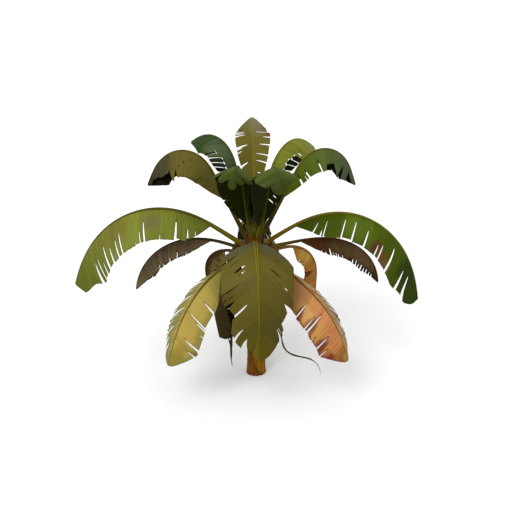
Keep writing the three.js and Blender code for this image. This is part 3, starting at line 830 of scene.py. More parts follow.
def tube(rings):
    """Points and quads of a closed tube through rings of an even number of points."""
    count, around = rings.shape[:2]
    i = np.arange(count - 1)[:, None] * around
    k = np.arange(around)[None, :]
    n = (k + 1) % around
    walls = np.stack([i + k, i + n, i + around + n, i + around + k], -1).reshape(-1, 4)
    c = np.arange(around // 2 - 1)
    cap = np.stack([c, around - 1 - c, around - 2 - c, c + 1], -1)
    far_cap = cap[:, ::-1] + (count - 1) * around
    return rings.reshape(-1, 3), np.vstack([walls, cap, far_cap])


def stalk_frames(leaf):
    """Point, along, side, up and rib share of each ring, from the foot of the heel up."""
    low = leaf["height"] - HEEL_LENGTH
    out = heading_vector(leaf["heading"])
    share = np.linspace(HEEL_END, 1, RIB_RINGS)
    point, along, side, up = on_rib(RIBS[leaf["name"]], share)
    foot = stem_middle(low) + out * (stem_radius(low) - HEEL_SINK)
    reach = np.linalg.norm(point[0] - foot) * HEEL_CURVE
    t = np.linspace(0, 1, HEEL_RINGS + 1)[:, None]
    rise = np.array([0, 0, reach])
    heel = bezier(foot, foot + rise, point[0] - along[0] * reach, point[0], t)
    heel_along = unit(np.gradient(heel, axis=0))[:-1]
    heel_side = np.repeat(side[:1], HEEL_RINGS, axis=0)
    return (
        np.vstack([heel[:-1], point]),
        np.vstack([heel_along, along]),
        np.vstack([heel_side, side]),
        np.vstack([np.cross(heel_along, heel_side), up]),
        np.concatenate([t[:-1, 0] - 1, share]),
    )


def stalk_arrays(leaf):
    """A stalk and midrib: heel, grooved stalk, and a rib that thins towards the tip."""
    point, along, side, up, share = stalk_frames(leaf)
    mouth = leaf["stalk"]
    at = (-1, -0.5, 0.02, mouth, 0.6, 1)
    sized = lambda *values: np.interp(share, at, values)[:, None] * leaf["girth"]
    width = sized(0.080, 0.066, 0.054, 0.042, 0.018, 0.005)
    depth = sized(0.012, 0.028, 0.050, 0.038, 0.015, 0.005)
    groove = np.interp(share, at, (0.0, 0.25, 0.55, 0.4, 0.3, 0.1))[:, None]
    wrap = np.interp(share, (-1, -0.4), (HEEL_WRAP, 0))[:, None]
    turn = SECTION_ANGLES[None, :]
    x = width / 2 * np.cos(turn)
    sine = np.sin(turn)
    rim = np.where(sine > 0, ABOVE * np.abs(sine) ** 0.6, -BELOW * np.abs(sine))
    dip = groove * (sine > 0) * (1 - np.cos(turn) ** 2) ** 1.5
    y = depth * (rim - dip) + wrap * x**2
    rings = point[:, None] + side[:, None] * x[..., None] + up[:, None] * y[..., None]
    points, quads = tube(rings)
    steps = np.linalg.norm(np.diff(point, axis=0), axis=1)
    travelled = np.concatenate([[0], np.cumsum(steps)])
    plane = np.stack(np.broadcast_arrays(travelled[:, None], x + 0 * turn), -1)
    place_on = np.stack(np.broadcast_arrays(share[:, None], sine), -1)
    return dict(
        points=points,
        quads=quads,
        layers={"plane": plane.reshape(-1, 2), "share": place_on.reshape(-1, 2)},
    )


print("a stalk and midrib:", len(stalk_arrays(LEAVES["left_long"])["quads"]), "quads")

# %% [markdown]
# ## The pseudostem
# The stem has no bark: its surface is the outermost leaf sheaths, each narrower the nearer
# it comes to its own stalk, with thin papery edges. Displacing a cylinder with noise would
# miss that. So each sheath's reach round the stem is worked out at every height, each one
# adds a few millimetres, and a few old sheaths without leaves make up the foot.

# %% The pseudostem
STEM_COLUMNS, STEM_ROWS = 160, 240
SHEATH_STEP = 0.0035
SHEATH_EDGE = 0.007
DARK_EDGE = 0.006
OLD_SHEATHS = 8
OLD_SPACING = 0.11
GOLDEN_ANGLE = 137.5
FULL_WRAP = 0.7
WHOLE_TURN = 175
STRIATION, STRIATIONS = 0.0012, 23
RAGGED_TOP, RAGGED_SIDE = 0.03, 3
OLD_BLUNT, YOUNG_BLUNT = 0.5, 5
STEM_CROWN = 0.2


def sheath_list():
    """Heading, top, narrowest half angle and age of every sheath, outermost first."""
    rng = np.random.default_rng(7)
    old = [
        (
            40 + GOLDEN_ANGLE * k,
            0.22 + OLD_SPACING * k + rng.uniform(-RAGGED_TOP, RAGGED_TOP),
            rng.uniform(35, 60),
            1.0,
        )
        for k in range(OLD_SHEATHS)
    ]
    leaves = sorted(LEAVES.values(), key=lambda leaf: leaf["height"])
    young = [(leaf["heading"], leaf["height"], 12, 0.0) for leaf in leaves]
    return old + young


def stem_arrays():
    """The stem's surface with stepped sheaths, their lots, ages and edges."""
    turn = np.arange(STEM_COLUMNS) * 2 * np.pi / STEM_COLUMNS
    z = np.linspace(0, STEM_TOP, STEM_ROWS)
    turn, z = np.meshgrid(turn, z)
    radius = stem_radius(z)
    rng = np.random.default_rng(8)
    relief, lot, age, edge = (np.zeros_like(z) for _ in range(4))
    bare = np.ones(z.shape, bool)
    for number, (heading, top, narrow, old) in enumerate(sheath_list()):
        below = top + RAGGED_TOP * old * np.sin(turn * 9 + number) - z
        reach = narrow + (180 - narrow) * (np.clip(below, 0, None) / FULL_WRAP) ** 0.9
        reach = reach + RAGGED_SIDE * np.sin(z * 40 + number * 2)
        off = np.degrees(np.abs(np.angle(np.exp(1j * (turn - math.radians(heading))))))
        inside = np.where(reach >= WHOLE_TURN, 1, np.radians(reach - off) * radius)
        inside = np.minimum(inside, below * (OLD_BLUNT if old else YOUNG_BLUNT))
        relief += SHEATH_STEP * smooth(inside, 0, SHEATH_EDGE)
        mine = bare & (inside > 0)
        lot[mine] = rng.random()
        age[mine] = old
        edge[mine] = np.exp(-inside[mine] / DARK_EDGE)
        bare &= inside <= 0
    relief -= relief.mean(axis=1, keepdims=True)
    radius = radius + relief * smooth(STEM_TOP - z, 0, STEM_CROWN)
    radius = radius + STRIATION * np.sin(turn * STRIATIONS + 2 * np.sin(z * 5))
    x = -STEM_LEAN * (z / STEM_TOP) ** 2 + radius * np.cos(turn)
    points, quads = tube(np.stack([x, radius * np.sin(turn), z], -1))
    return dict(
        points=points,
        quads=quads,
        floats={"lot": lot.ravel(), "age": age.ravel(), "edge": edge.ravel()},
    )


print(len(sheath_list()), "sheaths wrap the stem")

# %% [markdown]
# ## Hanging strands
# Strips torn right off along a vein stay attached at the margin and hang down, dry and
# curled. They could be flat ribbons, but seen edge-on those vanish. So each is a tapering
# ring section, curled like a gutter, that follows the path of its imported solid.

# %% Hanging strands
STRANDS = {
    "left_hanging_strip_1": dict(
        leaf="left_hanging", at=0.88, heading=270, start=-72, swing=-18, length=0.330,
        width=0.024, look="strip_dry",
    ),
    "left_hanging_strip_2": dict(
        leaf="left_hanging", at=0.95, heading=320, start=-66, swing=-24, length=0.330,
        width=0.018, look="strip_dry",
    ),
    "front_trailing_strand": dict(
        leaf="front_big", at=0.8, heading=0, start=-84, swing=72, length=0.575,
        width=0.020, look="strand_dark",
    ),
}
STRAND_RINGS = 60
STRAND_INSET, STRAND_BELOW = 0.020, 0.002
STRAND_THICKNESS = 0.3
STRAND_CURL = 20
STRAND_TWIST, STRAND_UNEVEN, STRAND_RATE = 40, 0.2, 9
TAPER_FROM, TAPER = 0.55, 0.9


def strand_arrays(strand):
    leaf = LEAVES[strand["leaf"]]
    t = np.array(strand["at"])
    point, normal = on_blade(leaf, 0, t, 1 - STRAND_INSET / half_width(leaf, 0, t))
    share = np.linspace(0, 1, STRAND_RINGS)
    rise = strand["start"] + strand["swing"] * (1 - np.cos(2 * np.pi * share)) / 2
    rise = np.radians(rise)[:, None]
    along = heading_vector(strand["heading"] + 0 * share) * np.cos(rise)
    along = along + np.sin(rise) * np.array([0, 0, 1])
    run = np.cumsum(along[:-1] * strand["length"] / (STRAND_RINGS - 1), axis=0)
    point = point - normal * STRAND_BELOW + np.vstack([np.zeros(3), run])
    sway = STRAND_TWIST * np.sin(share * STRAND_RATE)
    across = heading_vector(strand["heading"] + 90 + sway)
    out = np.cross(along, across)
    taper = 1 - TAPER * smooth(share, TAPER_FROM, 1.0)
    width = strand["width"] * taper * (1 + STRAND_UNEVEN * rough(share * STRAND_RATE, 5))
    x = width[:, None] / 2 * np.cos(SECTION_ANGLES)
    y = width[:, None] * STRAND_THICKNESS * np.sin(SECTION_ANGLES) + x**2 * STRAND_CURL
    rings = point[:, None] + across[:, None] * x[..., None] + out[:, None] * y[..., None]
    points, quads = tube(rings)
    plane = np.stack(np.broadcast_arrays(share[:, None] * strand["length"], x), -1)
    return dict(points=points, quads=quads, layers={"plane": plane.reshape(-1, 2)})


print({name: strand["length"] for name, strand in STRANDS.items()}, "m long")

# %% [markdown]
# ## Patterns that several finishes share
# Every leaf, stalk and sheath is striped along its own length, blotched with age and dry
# at its edges. Painting that into each material would repeat the same nodes many times, so
# each effect is a node group with named inputs, built once and placed with other values.
# - `streaks` gives broad and fine stripes and a height that joins both.
# - `blotches` gives spots, more of them as `Amount` grows.
# - `dry_edge` gives a ragged band along the margin and a fringe beside each tear.
# - `patch` gives one ragged patch with a middle and a size, used for stains, painted sheen
#   and painted shade.

# %% Patterns that several finishes share
def new_group(name, inputs, outputs):
    """A node group with its sockets, and its input node's sockets by name."""
    group = bpy.data.node_groups.new(name, "ShaderNodeTree")
    for key, value in inputs.items():
        kind = "NodeSocketVector" if isinstance(value, tuple) else "NodeSocketFloat"
        socket = group.interface.new_socket(key, in_out="INPUT", socket_type=kind)
        socket.default_value = value
    for key in outputs:
        group.interface.new_socket(key, in_out="OUTPUT", socket_type="NodeSocketFloat")
    return group, place(group, "NodeGroupInput").outputs


def maths(tree, operation, *values):
    return place(tree, "Math", dict(enumerate(values)), operation=operation).outputs[0]


def ease(tree, value, low, high, start=0.0, end=1.0):
    """A value turned into a smooth step between start and end."""
    inputs = {0: value, 1: low, 2: high, 3: start, 4: end}
    step = place(tree, "MapRange", inputs, interpolation_type="SMOOTHSTEP")
    return step.outputs[0]


def noise(tree, vector, scale, seed, detail=2.0):
    inputs = {"Vector": vector, "W": seed, "Scale": scale, "Detail": detail}
    return place(tree, "TexNoise", inputs, noise_dimensions="4D").outputs[0]


def vectors(tree, operation, *values):
    return place(tree, "VectorMath", dict(enumerate(values)), operation=operation).outputs


def stretched(tree, vector, stretch):
    return vectors(tree, "MULTIPLY", vector, stretch)[0]


def layer(tree, name):
    """The two numbers of a place from a mesh's own flat layer."""
    return place(tree, "UVMap", uv_map=name).outputs[0]


def number_of(tree, name):
    """A number that the mesh carries by point or by face."""
    return place(tree, "Attribute", attribute_name=name).outputs["Fac"]


def grouped(tree, group, inputs):
    return place(tree, "Group", inputs, node_tree=group).outputs


def striped(tree, vector, stretch, seed):
    inputs = {"Vector": vector, "Stretch": stretch, "Seed": seed}
    return grouped(tree, streaks, inputs)


streaks, given = new_group(
    "streaks",
    {"Vector": (0, 0, 0), "Stretch": (1, 1, 1), "Seed": 0.0},
    ("Streak", "Fine", "Height"),
)
vector = stretched(streaks, given["Vector"], given["Stretch"])
broad = ease(streaks, noise(streaks, vector, 1.0, given["Seed"]), 0.33, 0.67)
fine = ease(streaks, noise(streaks, vector, 3.1, given["Seed"], 3.0), 0.3, 0.7)
height = maths(streaks, "MULTIPLY_ADD", fine, 0.6, broad)
place(streaks, "NodeGroupOutput", {0: broad, 1: fine, 2: height})

blotches, given = new_group(
    "blotches",
    {"Vector": (0, 0, 0), "Scale": 6.0, "Amount": 0.3, "Seed": 0.0},
    ("Mask",),
)
cloud = noise(blotches, given["Vector"], given["Scale"], given["Seed"], 4.0)
edge_low = maths(blotches, "MULTIPLY_ADD", given["Amount"], -0.45, 0.78)
edge_high = maths(blotches, "ADD", edge_low, 0.10)
place(blotches, "NodeGroupOutput", {0: ease(blotches, cloud, edge_low, edge_high)})

dry_edge, given = new_group(
    "dry_edge",
    {"Share": (0, 0, 0), "Plane": (0, 0, 0), "Torn": 0.0, "Reach": 0.05, "Seed": 0.0},
    ("Mask",),
)
across = place(dry_edge, "SeparateXYZ", {0: given["Share"]}).outputs[1]
across = maths(dry_edge, "ABSOLUTE", across)
wander = stretched(dry_edge, given["Plane"], (30, 12, 1))
wander = noise(dry_edge, wander, 1.0, given["Seed"], 3.0)
wander = maths(dry_edge, "MULTIPLY_ADD", wander, 2.4, -0.4)
reach = maths(dry_edge, "MULTIPLY", given["Reach"], wander)
at_margin = ease(dry_edge, maths(dry_edge, "ADD", across, reach), 0.96, 1.0)
at_tear = ease(dry_edge, maths(dry_edge, "MULTIPLY", given["Torn"], wander), 0.35, 0.9)
place(dry_edge, "NodeGroupOutput", {0: maths(dry_edge, "MAXIMUM", at_margin, at_tear)})

patch, given = new_group(
    "patch",
    {
        "Share": (0, 0, 0),
        "Plane": (0, 0, 0),
        "Middle": (0.5, 0.5, 0),
        "Size": (0.1, 0.5, 1),
    },
    ("Mask",),
)
off = vectors(patch, "SUBTRACT", given["Share"], given["Middle"])[0]
off = vectors(patch, "DIVIDE", off, given["Size"])[0]
far = vectors(patch, "LENGTH", off)["Value"]
ragged = noise(patch, stretched(patch, given["Plane"], (26, 5, 1)), 1.0, 3.0, 4.0)
ragged = maths(patch, "MULTIPLY_ADD", ragged, 1.8, -0.9)
far = maths(patch, "ADD", far, ragged)
place(patch, "NodeGroupOutput", {0: ease(patch, far, 1.25, 0.45)})
print("groups:", [group.name for group in bpy.data.node_groups])

# %% [markdown]
# ## The finishes of the leaves
# Living leaves differ more than one would think: young ones are lime, old ones olive, and
# dying ones go through yellow and orange to brown. Each look names its colours: the upper
# face and its streaks, the tip, the underside, age spots, the dry edge, the rib and stalk.
# In several looks the underside, and the tip of `olive_high`, are painted near-black as
# shade, and some tips are partly painted sheen. `patches` are larger patches of colour with
# a place of their own on the blade: share of its length, share of its width (negative on
# the right half), size along and across, and colour. Most are stains; a few are painted
# sheen and one is painted shade.

# %% The finishes of the leaves
USUAL = dict(
    spots=0.15, spot=(88, 62, 34), dry=(92, 66, 38), reach=0.02, rim=0.3, tip_from=0.8,
    stripe=0.22, patches=(), roughness=0.5, wax=0.02,
)
LOOKS = {
    "olive_upright": dict(
        # the pale grey tip colour is painted sheen
        top=(105, 97, 33), second=(83, 76, 25), tip=(123, 119, 86), under=(96, 100, 52),
        rib=(160, 148, 56), stalk=(124, 112, 24), foot=(144, 100, 12),
        patches=(
            (0.72, -0.95, 0.07, 0.14, (100, 60, 36)),
            # painted sheen: the grey patch at the top of the right half
            (0.85, -0.5, 0.12, 0.5, (112, 106, 76)),
        ),
    ),
    "dark_sheen": dict(
        # the near-black underside colour is painted shade
        top=(51, 67, 19), second=(32, 50, 10), tip=(29, 60, 2), under=(14, 20, 8),
        rib=(84, 92, 34), stalk=(96, 96, 20), foot=(140, 96, 12), roughness=0.4, wax=0.0,
        spots=0.05,
        tip_from=0.45,
        patches=(
            # painted sheen: the grey-teal patches on both halves
            (0.45, 0.45, 0.28, 0.6, (74, 86, 56)), (0.45, -0.45, 0.28, 0.6, (74, 86, 56)),
        ),
    ),
    "lime_young": dict(
        # the near-black underside colour is painted shade
        top=(115, 119, 34), second=(90, 99, 25), tip=(98, 112, 42), under=(18, 24, 8),
        rib=(150, 150, 56), stalk=(120, 112, 20), foot=(144, 100, 12), spots=0.08,
    ),
    "olive_high": dict(
        # the near-black tip and underside colours are painted shade
        top=(99, 92, 33), second=(79, 74, 27), tip=(20, 18, 8), under=(26, 20, 10),
        rib=(116, 94, 28), stalk=(84, 66, 20), foot=(110, 72, 12), spots=0.3,
        reach=0.03,
        patches=(
            (0.8, 0.3, 0.16, 0.5, (62, 58, 40)),
        ),
    ),
    "green_high": dict(
        # the grey tip colour is partly brown and partly painted sheen; the dark underside
        # colour is painted shade
        top=(79, 97, 15), second=(62, 81, 11), tip=(72, 78, 62), under=(21, 30, 10),
        rib=(120, 104, 34), stalk=(76, 62, 18), foot=(110, 72, 12), spots=0.1,
        tip_from=0.35,
    ),
    "dark_rising": dict(
        # the near-black underside colour is painted shade
        top=(69, 84, 23), second=(53, 67, 16), tip=(49, 59, 9), under=(31, 37, 2),
        rib=(64, 80, 16), stalk=(124, 118, 14), foot=(140, 96, 10), spots=0.05,
    ),
    "lime_long": dict(
        top=(116, 122, 43), second=(102, 109, 34), tip=(84, 91, 25), under=(100, 110, 50),
        rib=(96, 90, 28), stalk=(128, 116, 12), foot=(136, 92, 10), spots=0.08,
        stripe=0.15, tip_from=0.7,
        patches=(
            (0.36, 0.45, 0.06, 0.25, (110, 108, 60)), (0.6, 0.3, 0.12, 0.4, (108, 104, 38)),
            (0.96, 0.5, 0.04, 0.4, (94, 96, 28)),
        ),
    ),
    "deep_long": dict(
        top=(65, 80, 2), second=(48, 64, 2), tip=(36, 54, 2), under=(74, 92, 38),
        rib=(120, 108, 30), stalk=(136, 118, 14), foot=(136, 88, 10), spots=0.12,
        dry=(70, 34, 22),
        patches=(
            (0.535, -0.74, 0.032, 0.30, (78, 32, 18)),
            (0.605, -0.82, 0.05, 0.24, (98, 66, 28)),
            (0.665, -0.9, 0.04, 0.26, (104, 80, 40)), (0.4, -0.45, 0.12, 0.5, (80, 98, 14)),
            # painted shade: the dark patch near the tip of the right half
            (0.80, -0.30, 0.08, 0.4, (34, 50, 8)),
        ),
    ),
    "olive_front": dict(
        top=(95, 86, 29), second=(79, 71, 23), tip=(106, 93, 15), under=(80, 82, 38),
        rib=(136, 128, 18), stalk=(128, 116, 18), foot=(132, 110, 40), spots=0.16,
        patches=(
            # painted sheen: the grey patches by the foot of both halves
            (0.0, 0.5, 0.22, 1.3, (92, 88, 54)), (0.0, -0.5, 0.22, 1.3, (92, 88, 54)),
        ),
    ),
    "lime_back": dict(
        top=(104, 110, 32), second=(82, 90, 24), tip=(98, 104, 40), under=(72, 74, 22),
        rib=(130, 122, 48), stalk=(112, 114, 38), foot=(120, 102, 38),
    ),
    "brown_left": dict(
        top=(143, 123, 90), second=(92, 78, 58), tip=(134, 123, 83), under=(84, 68, 44),
        rib=(66, 58, 24), stalk=(76, 70, 22), foot=(96, 74, 34), spots=0.3,
        spot=(48, 34, 20), dry=(50, 36, 22), reach=0.12, roughness=0.7, wax=0.0, stripe=0.8,
        rim=0.8,
    ),
    "brown_right": dict(
        top=(113, 86, 52), second=(82, 59, 31), tip=(65, 33, 7), under=(84, 60, 40),
        rib=(96, 62, 12), stalk=(120, 96, 24), foot=(120, 74, 30), spots=0.35,
        spot=(50, 28, 18), dry=(40, 28, 18), reach=0.12, roughness=0.7, wax=0.0, stripe=0.8,
        patches=(
            (0.05, 0.3, 0.28, 0.9, (84, 42, 16)), (0.05, -0.3, 0.28, 0.9, (84, 42, 16)),
            (0.55, -0.4, 0.3, 0.4, (122, 98, 62)), (0.74, -1.0, 0.3, 0.32, (22, 18, 14)),
        ),
        rim=0.8,
    ),
    "yellow_low": dict(
        top=(176, 152, 72), second=(148, 134, 61), tip=(124, 127, 57), under=(140, 128, 64),
        rib=(120, 110, 34), stalk=(122, 118, 44), foot=(126, 104, 42), spots=0.12,
        spot=(120, 88, 44), roughness=0.6, wax=0.05,
        patches=(
            (0.5, -0.7, 0.8, 0.6, (136, 136, 74)), (0.12, 0.6, 0.14, 0.5, (150, 142, 62)),
            (0.60, 0.9, 0.5, 0.2, (140, 134, 66)), (0.85, 0.4, 0.12, 0.3, (150, 126, 52)),
        ),
        rim=0.5,
    ),
    "orange_low": dict(
        top=(190, 137, 69), second=(163, 107, 49), tip=(138, 75, 37), under=(140, 100, 56),
        rib=(158, 108, 52), stalk=(124, 84, 36), foot=(122, 84, 36), spots=0.5,
        spot=(188, 104, 72), dry=(108, 38, 28), reach=0.06, roughness=0.6, wax=0.05,
        rim=0.8,
        patches=(
            (0.45, 0.6, 0.7, 0.7, (190, 162, 108)), (0.70, 0.9, 0.4, 0.3, (124, 126, 88)),
            (0.4, -0.6, 0.2, 0.25, (192, 150, 90)), (0.24, -0.3, 0.1, 0.4, (190, 132, 86)),
            (0.48, -0.2, 0.12, 0.25, (188, 126, 80)),
            (0.72, -0.3, 0.14, 0.35, (188, 124, 78)),
            (0.35, -0.86, 0.04, 0.32, (100, 26, 28)),
            (0.5, -0.8, 0.06, 0.36, (100, 26, 28)),
            (0.7, -0.82, 0.06, 0.32, (102, 28, 28)),
            (0.83, -0.85, 0.05, 0.25, (106, 32, 30)),
            (0.97, -0.1, 0.06, 0.5, (150, 140, 56)),
        ),
    ),
    "brown_hanging": dict(
        # the dark underside colour is painted shade
        top=(152, 127, 64), second=(89, 75, 41), tip=(72, 66, 26), under=(42, 28, 12),
        rib=(92, 66, 32), stalk=(104, 78, 34), foot=(112, 84, 36), spots=0.4,
        spot=(44, 34, 18), dry=(48, 32, 18), reach=0.1, roughness=0.75, wax=0.0, stripe=0.9,
        rim=0.8,
        patches=(
            (0.75, 0.5, 0.32, 1.2, (70, 60, 30)), (0.75, -0.5, 0.32, 1.2, (70, 60, 30)),
            (0.20, 0.1, 0.25, 0.3, (62, 44, 26)),
        ),
    ),
    "orange_hanging": dict(
        top=(216, 152, 69), second=(173, 112, 54), tip=(120, 80, 40), under=(130, 84, 40),
        rib=(190, 136, 60), stalk=(170, 130, 60), foot=(124, 88, 36), spots=0.3,
        spot=(98, 34, 22), dry=(92, 32, 22), reach=0.08, roughness=0.7, wax=0.0, stripe=0.8,
        rim=0.45,
        patches=(
            (0.50, 0.9, 0.045, 0.5, (92, 22, 22)), (0.42, 0.95, 0.03, 0.4, (96, 26, 24)),
            (0.45, -0.9, 0.05, 0.5, (92, 22, 22)), (0.20, -0.5, 0.12, 0.5, (214, 176, 84)),
        ),
    ),
}
VEIN_STRETCH = (62, 1.6, 1)
SPOT_STRETCH = (1.6, 0.8, 1)
STALK_STRETCH = (5, 170, 1)
VEIN_DEPTH, STALK_DEPTH = 0.0012, 0.0015
BUMP = 0.6
LEAF_SHINE, UNDER_SHINE = 0.07, 0.03
DRY_ROUGHER, ROUGHEST = 0.25, 0.95
STALK_ROUGHNESS = (0.42, 0.62)
WAX_ROUGHNESS = 0.35


def srgb(colour):
    """Screen values from 0 to 255 as the linear colour that shaders use."""
    c = np.array(colour) / 255
    return (*np.where(c < 0.04045, c / 12.92, ((c + 0.055) / 1.055) ** 2.4).tolist(), 1.0)


def new_paint(name):
    material = bpy.data.materials.new(name)
    material.use_nodes = True
    return material, material.node_tree, material.node_tree.nodes["Principled BSDF"]


def mixed(tree, share, a, b):
    inputs = {0: share, 6: a, 7: b}
    return place(tree, "Mix", inputs, data_type="RGBA").outputs[2]


def laid_on(tree, mask, strength, colour, other):
    """A colour with another laid on it by a mask, at most to a strength."""
    return mixed(tree, maths(tree, "MULTIPLY", mask, strength), colour, other)


def finish_paint(tree, shader, colour, roughness, mask, height, depth, shine, wax=None):
    """Colour, roughness by a mask, bump by a height, shine and wax on a shader."""
    tree.links.new(colour, shader.inputs["Base Color"])
    tree.links.new(ease(tree, mask, 0.0, 1.0, *roughness), shader.inputs["Roughness"])
    bump = place(tree, "Bump", {"Strength": BUMP, "Distance": depth, "Height": height})
    tree.links.new(bump.outputs[0], shader.inputs["Normal"])
    shader.inputs["Specular IOR Level"].default_value = shine
    if wax is not None:
        shader.inputs["Coat Weight"].default_value = wax
        shader.inputs["Coat Roughness"].default_value = WAX_ROUGHNESS


def blade_paint(name, look, seed, under=False):
    """The finish of a blade's upper face or underside."""
    material, tree, shader = new_paint(f"{name}_{'underside' if under else 'blade'}")
    plane, share = layer(tree, "plane"), layer(tree, "share")
    torn, lot = number_of(tree, "torn"), number_of(tree, "lot")
    lines = striped(tree, plane, VEIN_STRETCH, seed)
    tone = lambda key, part=1.0: srgb(np.array(look[key]) * part)
    show_patch, show_spots, show_edge = (0.25, 0.3, 0.4) if under else (0.85, 0.7, 1.0)
    # In several looks the underside colour is near-black: painted shade.
    if under:
        top, second, tip = tone("under"), tone("under", 0.7), tone("under", 0.9)
    else:
        top, second, tip = tone("top"), tone("second"), tone("tip")
    colour = laid_on(tree, lines["Streak"], look["stripe"], top, second)
    # The tip colour is painted shade in olive_high and partly painted sheen in
    # olive_upright and green_high.
    along = place(tree, "SeparateXYZ", {0: share}).outputs[0]
    near_tip = maths(tree, "MULTIPLY_ADD", lines["Streak"], 0.12, along)
    near_tip = ease(tree, near_tip, look["tip_from"], 1.0, 0.0, 0.85)
    colour = mixed(tree, near_tip, colour, tip)
    places = {"Share": share, "Plane": plane}
    # Patch colours are stains, and in a few looks painted sheen and painted shade.
    for t, u, long, wide, stain_and_painted_light in look["patches"]:
        mask = {**places, "Middle": (t, u, 0), "Size": (long, wide, 1)}
        mask = grouped(tree, patch, mask)[0]
        colour = laid_on(tree, mask, show_patch, colour, srgb(stain_and_painted_light))
    spread = stretched(tree, plane, SPOT_STRETCH)
    aged = {"Vector": spread, "Amount": look["spots"], "Seed": seed}
    aged = grouped(tree, blotches, aged)[0]
    colour = laid_on(tree, aged, show_spots, colour, tone("spot"))
    edge = {**places, "Torn": torn, "Reach": look["reach"], "Seed": seed}
    edge = grouped(tree, dry_edge, edge)[0]
    edge = maths(tree, "MULTIPLY", edge, look["rim"] * show_edge)
    colour = mixed(tree, edge, colour, tone("dry"))
    value = maths(tree, "MULTIPLY_ADD", lines["Fine"], -0.16, 1.08)
    value = maths(tree, "MULTIPLY", value, ease(tree, lot, 0.0, 1.0, 0.9, 1.1))
    colour = place(tree, "HueSaturation", {"Value": value, "Color": colour}).outputs[0]
    roughness = (look["roughness"], min(look["roughness"] + DRY_ROUGHER, ROUGHEST))
    shine, wax = (UNDER_SHINE, 0.0) if under else (LEAF_SHINE, look["wax"])
    relief = (lines["Height"], VEIN_DEPTH)
    finish_paint(tree, shader, colour, roughness, edge, *relief, shine, wax)
    return material


def stalk_paint(name, look, seed):
    """The finish of a stalk and midrib: foot, stalk and rib colours, striped lengthwise,
    and painted shade in the groove and along the keel.
    """
    material, tree, shader = new_paint(f"{name}_stalk")
    plane, share = layer(tree, "plane"), layer(tree, "share")
    lines = striped(tree, plane, STALK_STRETCH, seed)
    along, around, _ = place(tree, "SeparateXYZ", {0: share}).outputs
    foot, stalk, rib = (srgb(look[key]) for key in ("foot", "stalk", "rib"))
    colour = mixed(tree, ease(tree, along, -0.05, 0.12), foot, stalk)
    colour = mixed(tree, ease(tree, along, 0.12, 0.3), colour, rib)
    # Painted shade: the groove and the keel below are darkened towards half the stalk
    # colour, which also paints the stripes.
    dark = srgb(np.array(look["stalk"]) * 0.5)
    groove = ease(tree, around, 0.72, 1.0, 0.0, 0.55)
    keel = ease(tree, around, 0.1, -0.9, 0.0, 0.6)
    colour = mixed(tree, maths(tree, "MAXIMUM", groove, keel), colour, dark)
    colour = laid_on(tree, lines["Streak"], 0.45, colour, dark)
    aged = {"Vector": plane, "Scale": 22.0, "Amount": look["spots"], "Seed": seed}
    aged = grouped(tree, blotches, aged)[0]
    colour = laid_on(tree, aged, 0.6, colour, srgb(look["spot"]))
    relief = (lines["Height"], STALK_DEPTH)
    finish = (STALK_ROUGHNESS, lines["Fine"], *relief, LEAF_SHINE, look["wax"])
    finish_paint(tree, shader, colour, *finish)
    return material


LOOKS = {name: {**USUAL, **own} for name, own in LOOKS.items()}
PAINTS = {}
for number, (name, look) in enumerate(LOOKS.items()):
    seed = 1.7 * number
    PAINTS[name] = (
        blade_paint(name, look, seed),
        blade_paint(name, look, seed + 0.5, under=True),
        stalk_paint(name, look, seed),
    )
print(f"{len(PAINTS)} looks with three finishes each")

# %% [markdown]
# ## The finishes of the stem and strands
# Sheaths run from green near the crown to ochre and dark brown at the foot, where the old
# ones have dried. Colours could be painted by height alone, but then the sheaths would not
# read as separate. Here each sheath has its own tint, and its edge is dry and dark.

# %% The finishes of the stem and strands
DRY_SHINE = 0.12
SHEATH_DEPTH, STRAND_DEPTH = 0.003, 0.001

stem_paint, tree, shader = new_paint("dry_sheath")
spot = place(tree, "TexCoord").outputs["Object"]
z = place(tree, "SeparateXYZ", {0: spot}).outputs[2]
lot, age, edge = (number_of(tree, name) for name in ("lot", "age", "edge"))
lines = striped(tree, spot, (70, 70, 1.6), 2.0)
live = mixed(tree, lot, srgb((132, 118, 26)), srgb((146, 106, 26)))
old = mixed(tree, lot, srgb((204, 142, 14)), srgb((138, 88, 14)))
high = ease(tree, z, 0.35, 0.95)
living = maths(tree, "MULTIPLY", high, maths(tree, "SUBTRACT", 1.0, age))
colour = mixed(tree, living, old, live)
colour = mixed(tree, ease(tree, z, 1.2, 1.5), colour, srgb((120, 126, 44)))
colour = laid_on(tree, lines["Streak"], 0.85, colour, srgb((66, 36, 8)))
spread = stretched(tree, spot, (1, 1, 0.35))
aged = {"Vector": spread, "Scale": 14.0, "Amount": 0.35, "Seed": 4.0}
aged = grouped(tree, blotches, aged)[0]
colour = laid_on(tree, aged, 0.7, colour, srgb((54, 34, 16)))
colour = laid_on(tree, edge, 0.85, colour, srgb((46, 26, 10)))
low = ease(tree, z, 0.06, 0.0, 0.0, 0.6)
colour = mixed(tree, low, colour, srgb((96, 44, 18)))
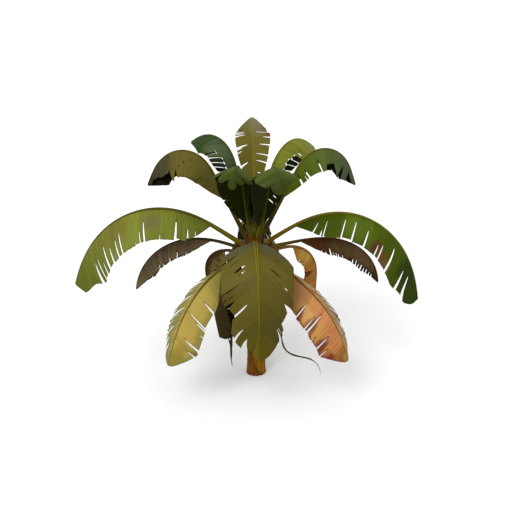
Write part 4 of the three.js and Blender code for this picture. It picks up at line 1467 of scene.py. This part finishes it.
relief = (lines["Height"], SHEATH_DEPTH)
finish_paint(tree, shader, colour, (0.6, 0.85), lines["Fine"], *relief, DRY_SHINE)


def strand_paint(name, base, dark, seed):
    material, tree, shader = new_paint(name)
    lines = striped(tree, layer(tree, "plane"), (9, 260, 1), seed)
    colour = mixed(tree, lines["Streak"], srgb(base), srgb(dark))
    relief = (lines["Height"], STRAND_DEPTH)
    finish_paint(tree, shader, colour, (0.55, 0.8), lines["Fine"], *relief, DRY_SHINE)
    return material


STRAND_PAINTS = {
    "strip_dry": strand_paint("strip_dry", (58, 62, 24), (34, 42, 16), 1.0),
    "strand_dark": strand_paint("strand_dark", (44, 60, 16), (22, 34, 8), 2.0),
}
print("materials:", len(bpy.data.materials))

# %% [markdown]
# ## Putting the plant together
# Every piece rides with the plant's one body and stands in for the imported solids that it
# shows in more detail. Each leaf draws its small tears from its own seed, so a change to
# one leaf leaves the others as they are.

# %% Putting the plant together
def settle(made, nodes, slot):
    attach(made, "root")
    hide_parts(*nodes)
    return len(made.data.polygons)


faces = 0
for number, (name, leaf) in enumerate(LEAVES.items()):
    blade_top, underside, stalk = PAINTS[leaf["look"]]
    arrays = blade_arrays(leaf, np.random.default_rng(100 + number))
    lamina = mesh_object(f"{name}_lamina", materials=(blade_top, underside), **arrays)
    faces += settle(lamina, [f"{name}_{part}" for part in leaf["nodes"]], leaf["slot"])
    midrib = mesh_object(f"{name}_midrib", materials=(stalk,), **stalk_arrays(leaf))
    faces += settle(midrib, [f"{name}_stalk"], leaf["stalk_slot"])
sheaths = mesh_object("stem_sheaths", materials=(stem_paint,), **stem_arrays())
faces += settle(sheaths, ["pseudostem"], "stem")
for name, strand in STRANDS.items():
    slot = LEAVES[strand["leaf"]]["slot"]
    ribbon = mesh_object(
        f"{name}_torn", materials=(STRAND_PAINTS[strand["look"]],), **strand_arrays(strand)
    )
    faces += settle(ribbon, [name], slot)
print(f"{faces} faces in all")

# %% The size
print("packed", [[round(x, 3) for x in corner] for corner in CAD_BOX])
